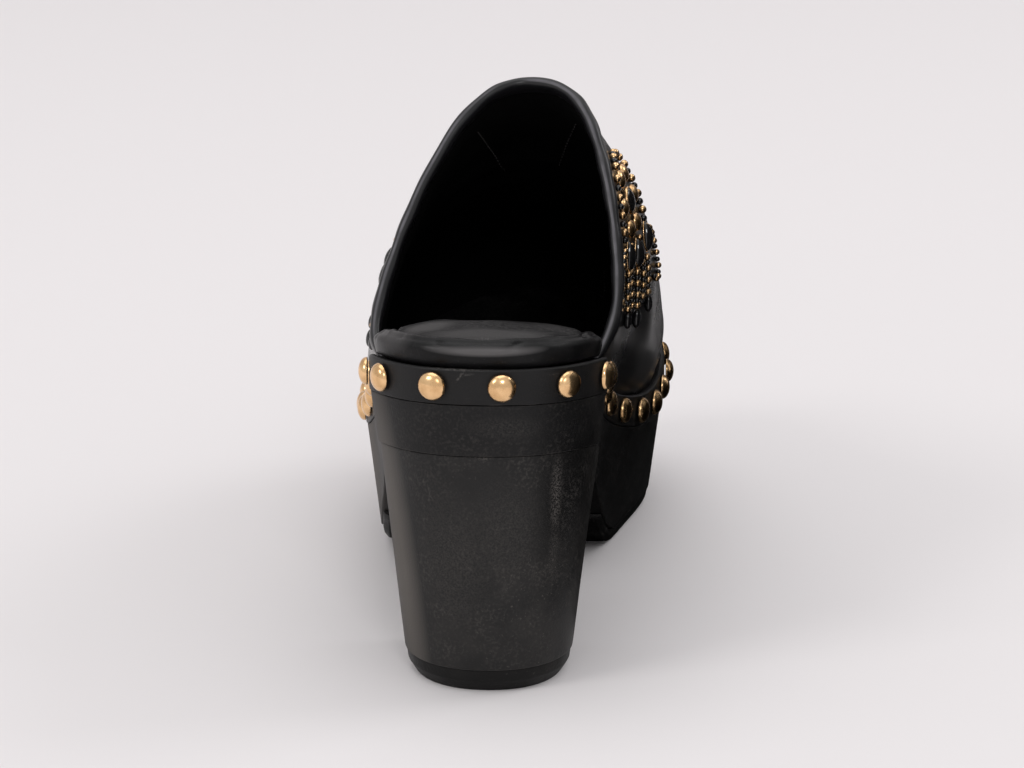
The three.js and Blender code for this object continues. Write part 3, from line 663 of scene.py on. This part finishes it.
def add_copy(bm, mesh, place):
    """Adds one placed copy of a mesh to a bmesh."""
    before = len(bm.verts)
    bm.from_mesh(mesh)
    bm.verts.ensure_lookup_table()
    bmesh.ops.transform(bm, matrix=place, verts=bm.verts[before:])


def dome_profile(radius, height):
    """A full dome on a short straight lip, closed by its flat foot."""
    lip = 0.14 * height
    turns = np.linspace(0.0, math.pi / 2, 9)
    crown = [(radius * math.cos(a), lip + (height - lip) * math.sin(a)) for a in turns]
    crown[-1] = (0.0, height)
    return [(0.0, 0.0), (radius * 0.92, 0.0), (radius, lip * 0.3)] + crown


gold = bpy.data.materials.new("gold_plate")
gold.use_nodes = True
tree = gold.node_tree
shader = tree.nodes["Principled BSDF"]
shader.inputs["Metallic"].default_value = 1.0
place = tree.nodes.new("ShaderNodeTexCoord").outputs["Object"]
tone = tree.nodes.new("ShaderNodeMix")
tone.data_type = "RGBA"
tone.inputs["A"].default_value = (0.93, 0.61, 0.32, 1.0)
tone.inputs["B"].default_value = (0.68, 0.41, 0.19, 1.0)
tree.links.new(ramp_node(tree, noise_node(tree, place, 260.0, 4.0), 0.42, 0.72), tone.inputs["Factor"])
tree.links.new(tone.outputs["Result"], shader.inputs["Base Color"])
tree.links.new(ramp_node(tree, noise_node(tree, place, 300.0, 3.0), 0.0, 2.3), shader.inputs["Roughness"])
bump = tree.nodes.new("ShaderNodeBump")
bump.inputs["Strength"].default_value = 0.035
bump.inputs["Distance"].default_value = 0.0002
tree.links.new(noise_node(tree, place, 700.0, 2.0), bump.inputs["Height"])
tree.links.new(bump.outputs["Normal"], shader.inputs["Normal"])

STUD_TILT = 0.02
stud_nodes = sorted(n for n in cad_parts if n.startswith("rand_stud_"))
studs = bmesh.new()
for count, node in enumerate(stud_nodes):
    foot, outward, _, radius, height = seat_of(node, (0.0, 0.0, 0.06))
    head = spun(dome_profile(radius, height), HEAD_STEPS)
    tilt = Vector((math.sin(count * 2.4), math.cos(count * 1.7), 0.0)) * STUD_TILT
    up = Vector((0.1, 0.0, 1.0))
    add_copy(studs, head, Matrix.Translation(foot) @ stand(outward + tilt, up))
studs = finished("rand_studs", studs)
studs.data.materials.append(gold)
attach(studs, "root")
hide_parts(*stud_nodes)

# Upper: one piece of smooth black calf moulded over the last and lined in thin black leather, the edge
# pulled under and nailed behind the rand. It has soft waves where the foot bends and two lining seams.
CALF_LOOK = {
    "roughness": 0.32, "gloss": 0.40, "grain_scale": 1900.0, "grain": 0.14,
    "scratches": 0.0, "dust": 0.10, "edges": 0.2, "coat": 0.30,
}
LINING_LOOK = {
    "roughness": 0.78, "gloss": 0.12, "grain_scale": 900.0, "grain": 0.3,
    "scratches": 0.3, "dust": 0.15, "edges": 0.0,
}
calf = leather("vamp_calf", (0.0060, 0.0058, 0.0060), (0.060, 0.057, 0.056), CALF_LOOK)
# The lining's black is darker than the calf's: partly its own black, partly painted shade inside the shoe.
lining = leather("vamp_lining", (0.0020, 0.0019, 0.0019), (0.014, 0.013, 0.013), LINING_LOOK)
upper = from_solid("vamp", "upper")
settle(upper)

HEART_STATIONS = [-0.09, -0.03, 0.02, 0.12]
HEART_HEIGHTS = [0.125, 0.095, 0.072, 0.066]


def heart_of(co):
    """The middle of the foot's space level with each point, for telling the outside from the inside."""
    height = np.interp(co[:, 1], HEART_STATIONS, HEART_HEIGHTS)
    return np.stack([np.full(len(co), -0.001), co[:, 1] - 0.012, height], axis=1)


BENDS = [
    {
        "depth": 0.0011, "width": 0.0050,
        "path": [
            (-0.040, 0.036, 0.080), (-0.022, 0.024, 0.117),
            (0.004, 0.026, 0.128), (0.028, 0.030, 0.118),
        ],
    },
    {
        "depth": 0.0009, "width": 0.0045,
        "path": [
            (-0.036, 0.050, 0.080), (-0.012, 0.042, 0.116),
            (0.014, 0.044, 0.118), (0.036, 0.046, 0.100),
        ],
    },
    {
        "depth": -0.0007, "width": 0.0060,
        "path": [
            (-0.038, 0.043, 0.082), (-0.015, 0.034, 0.118),
            (0.010, 0.036, 0.124), (0.032, 0.038, 0.108),
        ],
    },
    {
        "depth": 0.0010, "width": 0.0070,
        "path": [(0.042, -0.040, 0.100), (0.045, -0.030, 0.088), (0.046, -0.018, 0.078)],
    },
    {
        "depth": 0.0008, "width": 0.0060,
        "path": [(-0.038, -0.045, 0.098), (-0.042, -0.030, 0.086), (-0.044, -0.015, 0.076)],
    },
]
VAMP_WAVE = 0.00022
co, no = fine_points(upper)
side = np.sign(np.einsum("ij,ij->i", no, co - heart_of(co)))
outward = no * side[:, None]
shift = np.zeros(len(co))
for bend_line in BENDS:
    shift -= bend_line["depth"] * reach_along(co, bend_line["path"], bend_line["width"])
wave = np.sin(co[:, 1] * 260.0 + 1.3 * np.sin(co[:, 2] * 90.0))
wave = VAMP_WAVE * wave * np.sin(co[:, 2] * 190.0 + co[:, 0] * 120.0)
co = co + outward * (shift + wave)[:, None]
move_points(upper, co)
upper.data.materials.clear()
upper.data.materials.append(calf)
upper.data.materials.append(lining)
inside = side < 0
for polygon in upper.data.polygons:
    polygon.material_index = 1 if all(inside[k] for k in polygon.vertices) else 0
    polygon.use_smooth = True
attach(upper, "root")
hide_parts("upper")
skin = BVHTree.FromPolygons([Vector(p) for p in co], [tuple(p.vertices) for p in upper.data.polygons])

SEAM_LINES = [
    {
        "pixels": [(421.5, 262.0), (427.0, 270.0), (433.0, 278.0), (439.0, 286.5)],
        "pitch": 0.0022, "thread": 0.00030,
    },
    {
        "pixels": [(472.5, 257.5), (468.5, 266.0), (464.5, 275.0), (461.5, 284.0)],
        "pitch": 0.0022, "thread": 0.00026,
    },
    {"pixels": [(481.2, 328.0), (481.3, 332.5), (481.5, 337.0)], "pitch": 0.0012, "thread": 0.00034},
    {"pixels": [(434.8, 255.4), (437.0, 254.0), (439.2, 253.0)], "pitch": 0.0012, "thread": 0.00042},
    {"pixels": [(459.0, 253.6), (463.0, 255.6)], "pitch": 0.0012, "thread": 0.00026},
]
STITCH_LIFT = 0.0001
STITCH_SHARE = 0.36
STITCH_SQUASH = 0.8
seams = bmesh.new()
for row in SEAM_LINES:
    hits = [skin.ray_cast(CAMERA_AT, sight_line(pixel)) for pixel in row["pixels"]]
    hits = [h[0] for h in hits if h[0] is not None]
    for a, b in zip(hits, hits[1:]):
        count = max(2, int((b - a).length / row["pitch"]))
        for k in range(count):
            spot, normal, _, _ = skin.find_nearest(a.lerp(b, (k + 0.5) / count))
            made = bmesh.ops.create_uvsphere(seams, u_segments=6, v_segments=4, radius=row["thread"])
            place = Matrix.Translation(spot + normal * STITCH_LIFT) @ stand(normal, (b - a).normalized())
            along = row["pitch"] / row["thread"] * STITCH_SHARE
            squeeze = Matrix.Diagonal((1.0, along, STITCH_SQUASH, 1.0))
            bmesh.ops.transform(seams, matrix=place @ squeeze, verts=made["verts"])
seams = finished("lining_stitches", seams)
thread = bpy.data.materials.new("waxed_thread")
thread.use_nodes = True
tree = thread.node_tree
shader = tree.nodes["Principled BSDF"]
shader.inputs["Roughness"].default_value = 0.55
place = tree.nodes.new("ShaderNodeTexCoord").outputs["Object"]
tone = tree.nodes.new("ShaderNodeMix")
tone.data_type = "RGBA"
tone.inputs["A"].default_value = (0.020, 0.019, 0.019, 1.0)
tone.inputs["B"].default_value = (0.070, 0.067, 0.065, 1.0)
tree.links.new(noise_node(tree, place, 900.0, 2.0), tone.inputs["Factor"])
tree.links.new(tone.outputs["Result"], shader.inputs["Base Color"])
seams.data.materials.append(thread)
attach(seams, "root")

# Topline binding: a soft strip of the same leather, sewn face down along the edge and rolled over to the
# inside, so it shows as a smooth round edge. Its satin gleam is painted: the colour is lightened where the
# roll faces back, up and a little left.
BINDING_LOOK = {
    "roughness": 0.34, "gloss": 0.32, "grain_scale": 1700.0, "grain": 0.14,
    "scratches": 0.1, "dust": 0.14, "edges": 0.1, "coat": 0.17,
    # Painted sheen: the binding's colour lightens where it faces back, up and a little left.
    "crest": (-0.25, -0.76, 0.60), "crest_from": 0.94,
}
BINDING_GROWN = 0.0004
PUCKER_UP = 0.00012
PUCKER_ALONG = 0.0001
binding_leather = leather("binding_leather", (0.0060, 0.0058, 0.0068), (0.105, 0.100, 0.112), BINDING_LOOK)
binding = from_solid("binding_roll", "topline_binding", 89.0)
settle(binding)
co, no = fine_points(binding)
pucker = PUCKER_UP * np.sin(co[:, 2] * 620.0 + 3.0 * np.sin(co[:, 0] * 140.0))
pucker = pucker + PUCKER_ALONG * np.sin(co[:, 1] * 410.0)
move_points(binding, co + no * (pucker + BINDING_GROWN)[:, None])
binding.data.materials.clear()
binding.data.materials.append(binding_leather)
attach(binding, "root")
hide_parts("topline_binding")

# Insole: thin black leather over foam on a board, its edge rolled down to the rand. The roll has soft
# folds at both corners of the heel, and the seat is rubbed and dusty. A pale band along the middle of the
# roll and a patch near its left corner are painted highlights.
SEAT_LOOK = {
    "roughness": 0.58, "gloss": 0.13, "grain_scale": 1100.0, "grain": 0.35,
    "scratches": 1.0, "dust": 0.7, "edges": 0.2, "speckle": 0.6,
}
SEAT_MARKS = [
    {
        "at": (0.000, -0.1060, 0.1075), "size": (0.034, 0.0100, 0.0060),
        "turn": (0, 0, 0), "strength": 0.35,
    },
    {
        "at": (-0.0186, -0.1060, 0.1065), "size": (0.0120, 0.0070, 0.0060), "turn": (0, 0, 10),
        "strength": 0.50, "broken": False,
    },
    {
        "at": (0.0030, -0.1160, 0.1065), "size": (0.0340, 0.0080, 0.0080), "turn": (0, 0, -2),
        "strength": 0.42, "broken": False,
    },
    {
        "at": (0.018, -0.1040, 0.1070), "size": (0.016, 0.0060, 0.0060),
        "turn": (0, 0, -10), "strength": 0.4,
    },
    {
        "at": (-0.004, -0.1190, 0.1065), "size": (0.026, 0.0016, 0.0060),
        "turn": (0, 0, 0), "strength": 0.8,
    },
]
ROLL_LOOK = {
    "roughness": 0.37, "gloss": 0.17, "grain_scale": 1300.0, "grain": 0.16,
    "scratches": 0.5, "dust": 0.25, "edges": 0.1, "coat": 0.05,
}
ROLL_WEAR_AND_HIGHLIGHT_MARKS = [
    # Painted highlight: the soft gleam along the middle of the roll.
    {
        "at": (-0.0005, -0.1235, 0.1032), "size": (0.0200, 0.0100, 0.0016), "turn": (0, 0, 0),
        "strength": 0.90, "broken": False,
    },
    # Painted highlight: a gleam on the roll near its left corner.
    {
        "at": (-0.0290, -0.1120, 0.1045), "size": (0.0090, 0.0120, 0.0050), "turn": (0, 0, 0),
        "strength": 0.40, "broken": False,
    },
    {
        "at": (0.0310, -0.1050, 0.1045), "size": (0.0020, 0.0050, 0.0030),
        "turn": (0, 0, 40), "strength": 0.7,
    },
    {
        "at": (-0.0290, -0.1060, 0.1045), "size": (0.0015, 0.0050, 0.0030),
        "turn": (0, 0, -40), "strength": 0.6,
    },
]
SEAT_BLACK = (0.0045, 0.0043, 0.0048)
SEAT_RUBBED = (0.115, 0.110, 0.110)
seat_leather = leather("insole_seat", SEAT_BLACK, SEAT_RUBBED, SEAT_LOOK, SEAT_MARKS)
ROLL_BLACK = (0.0036, 0.0035, 0.0038)
ROLL_WEAR_AND_HIGHLIGHT_COLOUR = (0.110, 0.105, 0.106)
roll_leather = leather("insole_roll", ROLL_BLACK, ROLL_WEAR_AND_HIGHLIGHT_COLOUR, ROLL_LOOK, ROLL_WEAR_AND_HIGHLIGHT_MARKS)
insole = from_solid("padded_insole", "insole", 89.0, level=3)
settle(insole)
ROLL_CREST = 0.0021
ROLL_GROOVE = 0.0045
EDGE_DROP = 0.0020
EDGE_DROP_WIDTH = 0.013
CREST_HEIGHT = 0.0007
CREST_WIDTH = 0.0018
GROOVE_DEPTH = 0.0015
GROOVE_WIDTH = 0.0009
SEAT_WAVE = 0.0002
WANDER = 0.0006
FOLDS = [
    {
        "depth": 0.0011, "width": 0.0017,
        "path": [(-0.0345, -0.101, 0.1000), (-0.0300, -0.093, 0.1040), (-0.0250, -0.088, 0.1060)],
    },
    {
        "depth": 0.0013, "width": 0.0016,
        "path": [(0.0330, -0.104, 0.1000), (0.0290, -0.095, 0.1045), (0.0235, -0.090, 0.1065)],
    },
    {
        "depth": -0.0012, "width": 0.0016,
        "path": [(0.0340, -0.099, 0.1010), (0.0310, -0.090, 0.1050), (0.0285, -0.083, 0.1060)],
    },
    {
        "depth": 0.0005, "width": 0.0012,
        "path": [(-0.0180, -0.1245, 0.1020), (-0.0150, -0.1225, 0.1050), (-0.0130, -0.1200, 0.1060)],
    },
    {
        "depth": 0.0005, "width": 0.0010,
        "path": [(0.0060, -0.1255, 0.1015), (0.0075, -0.1235, 0.1050), (0.0100, -0.1205, 0.1060)],
    },
    {
        "depth": 0.0006, "width": 0.0013,
        "path": [(0.0210, -0.1225, 0.1015), (0.0205, -0.1195, 0.1050), (0.0190, -0.1160, 0.1060)],
    },
    {
        "depth": 0.0006, "width": 0.0014,
        "path": [(-0.0290, -0.1170, 0.1015), (-0.0270, -0.1140, 0.1050), (-0.0240, -0.1110, 0.1060)],
    },
    {
        "depth": 0.0006, "width": 0.0022,
        "path": [(-0.0200, -0.1080, 0.1070), (-0.006, -0.1110, 0.1075), (0.0100, -0.1085, 0.1075)],
    },
    {
        "depth": -0.0015, "width": 0.0013,
        "path": [(0.0255, -0.0975, 0.1065), (0.0285, -0.1010, 0.1060), (0.0325, -0.1065, 0.1030)],
    },
    {
        "depth": 0.0012, "width": 0.0014,
        "path": [(0.0225, -0.0995, 0.1065), (0.0255, -0.1030, 0.1060), (0.0285, -0.1075, 0.1045)],
    },
    {
        "depth": -0.0007, "width": 0.0010,
        "path": [(-0.0235, -0.0985, 0.1065), (-0.0262, -0.1025, 0.1055), (-0.0295, -0.1070, 0.1035)],
    },
    {
        "depth": 0.0010, "width": 0.0200,
        "path": [(-0.0100, -0.100, 0.1080), (0.000, -0.090, 0.1080), (0.0080, -0.080, 0.1050)],
    },
]
co, no = fine_points(insole)
edge_points = co[(np.abs(no[:, 2]) < 0.3) & (co[:, 1] < -0.01)][:, :2]
inset = np.full(len(co), 1.0)
shown = co[:, 1] < -0.03
for k in np.flatnonzero(shown):
    inset[k] = np.sqrt(((edge_points - co[k, :2]) ** 2).sum(1).min())
upward = np.clip(no[:, 2], 0.0, 1.0)
wander = WANDER * np.sin(co[:, 0] * 210.0 + 1.4 * np.sin(co[:, 1] * 120.0))
crest = np.exp(-(((inset - ROLL_CREST) / CREST_WIDTH) ** 2))
groove = np.exp(-(((inset - ROLL_GROOVE - wander) / GROOVE_WIDTH) ** 2))
groove = groove * (0.75 + 0.25 * np.sin(co[:, 0] * 150.0 + 1.0))
low_edge = np.exp(-((inset / EDGE_DROP_WIDTH) ** 2)) * np.clip((-0.045 - co[:, 1]) / 0.02, 0.0, 1.0)
shift = upward * (CREST_HEIGHT * crest - GROOVE_DEPTH * groove - EDGE_DROP * low_edge)
for fold in FOLDS:
    shift -= fold["depth"] * reach_along(co, fold["path"], fold["width"])
seat_wave = np.sin(co[:, 0] * 310.0 + 1.1 * np.sin(co[:, 1] * 170.0)) * np.sin(co[:, 1] * 240.0)
shift += SEAT_WAVE * seat_wave * upward
move_points(insole, co + no * shift[:, None])
insole.data.materials.clear()
insole.data.materials.append(seat_leather)
insole.data.materials.append(roll_leather)
on_roll = inset < ROLL_GROOVE + wander
for polygon in insole.data.polygons:
    polygon.material_index = 1 if all(on_roll[k] for k in polygon.vertices) else 0
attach(insole, "root")
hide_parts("insole")

# Flank flowers: black glass stones and drops in gold cups, ringed by small gold domes, each riveted or
# glued through the vamp. The inner and outer flanks mirror each other.
jet = bpy.data.materials.new("black_glass")
jet.use_nodes = True
tree = jet.node_tree
shader = tree.nodes["Principled BSDF"]
shader.inputs["Coat Weight"].default_value = 0.6
shader.inputs["Coat Roughness"].default_value = 0.03
place = tree.nodes.new("ShaderNodeTexCoord").outputs["Object"]
tone = tree.nodes.new("ShaderNodeMix")
tone.data_type = "RGBA"
tone.inputs["A"].default_value = (0.0015, 0.0015, 0.0018, 1.0)
tone.inputs["B"].default_value = (0.0060, 0.0058, 0.0062, 1.0)
tree.links.new(noise_node(tree, place, 300.0, 3.0), tone.inputs["Factor"])
tree.links.new(tone.outputs["Result"], shader.inputs["Base Color"])
tree.links.new(ramp_node(tree, noise_node(tree, place, 400.0, 3.0), 0.0, 8.0), shader.inputs["Roughness"])

CUP_WIRE = 0.00042
DROP_TAPER = 0.55
DROP_HALF = (0.0026, 0.0046, 0.0026)
DROP_LIFT = 0.0004
DROP_CUP_HALF = (0.0030, 0.0050, 0.0006)
JEWEL_LEVEL = 0.075


def heart_beside(node):
    """The middle of the foot's space level with a jewel, for telling its outward direction."""
    low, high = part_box(node)
    return (0.0, (low[1] + high[1]) / 2, JEWEL_LEVEL)


domes = bmesh.new()
stones = bmesh.new()
cups = bmesh.new()
dome_nodes = sorted(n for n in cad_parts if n.startswith("vamp_") and "_dome_" in n)
stone_nodes = sorted(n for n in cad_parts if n.startswith("vamp_") and "_stone_" in n)
drop_nodes = sorted(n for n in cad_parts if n.startswith("vamp_") and "_drop_" in n)
for node in dome_nodes:
    foot, outward, _, radius, height = seat_of(node, heart_beside(node))
    turned = Matrix.Translation(foot) @ stand(outward, Vector((0, 0, 1)))
    add_copy(domes, spun(dome_profile(radius, height), 16), turned)
flowers = []
for node in stone_nodes:
    foot, outward, _, radius, height = seat_of(node, heart_beside(node))
    turned = Matrix.Translation(foot) @ stand(outward, Vector((0, 0, 1)))
    add_copy(stones, spun(dome_profile(radius * 0.9, height), HEAD_STEPS), turned)
    turns = np.linspace(0, 2 * math.pi, 9)
    reach = radius - CUP_WIRE
    ring = [(reach + CUP_WIRE * math.cos(a), CUP_WIRE * (1.6 + 1.5 * math.sin(a))) for a in turns]
    add_copy(cups, spun(ring, HEAD_STEPS), turned)
    flowers.append((foot, outward))
for node in drop_nodes:
    foot, outward, long_way, _, _ = seat_of(node, heart_beside(node))
    turned = Matrix.Translation(foot) @ stand(outward, long_way)
    drop = bmesh.new()
    bmesh.ops.create_uvsphere(drop, u_segments=16, v_segments=10, radius=1.0)
    for point in drop.verts:
        taper = 0.5 + 0.5 * point.co.y
        point.co.x *= DROP_HALF[0] * (1.0 - DROP_TAPER * taper**1.5)
        point.co.y *= DROP_HALF[1]
        point.co.z = max(0.0, point.co.z) * DROP_HALF[2] + DROP_LIFT
    bmesh.ops.remove_doubles(drop, verts=drop.verts, dist=1e-6)
    bmesh.ops.dissolve_degenerate(drop, dist=1e-6, edges=drop.edges)
    drop_mesh = bpy.data.meshes.new("drop")
    drop.to_mesh(drop_mesh)
    drop.free()
    add_copy(stones, drop_mesh, turned)
    cup = bmesh.new()
    bmesh.ops.create_uvsphere(cup, u_segments=16, v_segments=8, radius=1.0)
    for point in cup.verts:
        taper = 0.5 + 0.5 * point.co.y
        point.co.x *= DROP_CUP_HALF[0] * (1.0 - DROP_TAPER * taper**1.5)
        point.co.y *= DROP_CUP_HALF[1]
        point.co.z = DROP_CUP_HALF[2] * (point.co.z + 1.0)
    cup_mesh = bpy.data.meshes.new("drop_cup")
    cup.to_mesh(cup_mesh)
    cup.free()
    add_copy(cups, cup_mesh, turned)

domes = finished("flower_domes", domes)
domes.data.materials.append(gold)
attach(domes, "root")
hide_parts(*dome_nodes)
stones = finished("flower_stones", stones)
stones.data.materials.append(jet)
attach(stones, "root")
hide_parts(*stone_nodes, *drop_nodes)
cups = finished("stone_cups", cups)
cups.data.materials.append(gold)
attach(cups, "root")

# Bead sprays: small gold and black beads sewn on in a ring round each flower, in five strings that hang
# from it and in a scroll on both sides. Three strings end in a long glass drop. The tables give places
# in millimetres behind and above the flower.
SPRAYS = [
    {"start": (-9.0, 12.5), "bend": (0.0, 18.5), "end": (9.0, 12.5), "count": 9, "size": 1.25},
    {"start": (-13.0, 9.5), "bend": (-18.5, 0.0), "end": (-15.0, -9.0), "count": 8, "size": 1.35},
    {"start": (13.0, 9.5), "bend": (18.0, 0.0), "end": (15.0, -9.0), "count": 8, "size": 1.25},
    {"start": (-11.5, -20.5), "bend": (-12.5, -26.0), "end": (-11.5, -32.0), "count": 7, "size": 1.1},
    {"start": (-5.5, -13.0), "bend": (-7.0, -24.0), "end": (-5.5, -34.0), "count": 12, "size": 1.05},
    {"start": (0.0, -22.5), "bend": (0.5, -28.0), "end": (0.0, -34.0), "count": 7, "size": 1.2},
    {"start": (5.5, -13.0), "bend": (7.0, -24.0), "end": (5.5, -34.0), "count": 12, "size": 1.05},
    {"start": (11.5, -20.5), "bend": (12.5, -26.0), "end": (11.5, -32.0), "count": 7, "size": 1.1},
    {"start": (-17.0, -12.0), "bend": (-27.0, -14.0), "end": (-27.5, -25.0), "count": 10, "size": 1.0},
    {"start": (-27.5, -27.0), "bend": (-26.0, -33.0), "end": (-20.5, -29.0), "count": 6, "size": 1.0},
    {"start": (17.0, -12.0), "bend": (25.0, -14.0), "end": (25.5, -24.0), "count": 10, "size": 1.0},
    {"start": (25.0, -26.0), "bend": (23.5, -31.0), "end": (19.0, -27.5), "count": 6, "size": 1.0},
]
HUNG_DROPS = [
    {"at": (-11.5, -36.0), "thick": 1.25, "long": 2.7},
    {"at": (0.0, -38.5), "thick": 1.35, "long": 3.0},
    {"at": (11.5, -36.0), "thick": 1.25, "long": 2.7},
]
GOLD_EVERY = 2
BLACK_SHARE = 0.85
BEAD_LIFT = 0.75
HUNG_LIFT = 0.8


def ball_mesh(name, around, upward):
    """A ball of radius 1 with the given numbers of steps around and upward."""
    ball = bmesh.new()
    bmesh.ops.create_uvsphere(ball, u_segments=around, v_segments=upward, radius=1.0)
    mesh = bpy.data.meshes.new(name)
    ball.to_mesh(mesh)
    ball.free()
    return mesh


bead_mesh = ball_mesh("bead", 8, 6)
drop_mesh = ball_mesh("hung_drop", 12, 10)
gold_beads = bmesh.new()
black_beads = bmesh.new()
drop_beads = bmesh.new()
for foot, outward in flowers:
    up = (Vector((0, 0, 1)) - outward * outward.z).normalized()
    backward = up.cross(outward) if outward.x < 0 else outward.cross(up)
    for spray in SPRAYS:
        (a, b), (c, d), (e, f) = spray["start"], spray["bend"], spray["end"]
        for k in range(spray["count"]):
            t = k / (spray["count"] - 1)
            behind = (a * (1 - t) ** 2 + 2 * c * t * (1 - t) + e * t**2) / 1000
            above = (b * (1 - t) ** 2 + 2 * d * t * (1 - t) + f * t**2) / 1000
            spot, normal, _, _ = skin.find_nearest(foot + backward * behind + up * above)
            if normal.dot(outward) < 0:
                continue
            is_gold = k % GOLD_EVERY == 0
            size = spray["size"] / 1000 * (1.0 if is_gold else BLACK_SHARE)
            seat = Matrix.Translation(spot + normal * size * BEAD_LIFT) @ Matrix.Scale(size, 4)
            add_copy(gold_beads if is_gold else black_beads, bead_mesh, seat)
    for drop in HUNG_DROPS:
        behind, above = drop["at"]
        spot, normal, _, _ = skin.find_nearest(foot + backward * (behind / 1000) + up * (above / 1000))
        thick = drop["thick"] / 1000
        shape = Matrix.Diagonal((thick, drop["long"] / 1000, thick, 1.0))
        seat = Matrix.Translation(spot + normal * thick * HUNG_LIFT) @ stand(normal, up)
        add_copy(drop_beads, drop_mesh, seat @ shape)
for name, beads, finish, slot in (
    ("gold_beads", gold_beads, gold, "gold_metal"),
    ("black_beads", black_beads, jet, "jet_stone"),
    ("hung_drops", drop_beads, jet, "jet_stone"),
):
    piece = finished(name, beads)
    piece.data.materials.append(finish)
    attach(piece, "root")
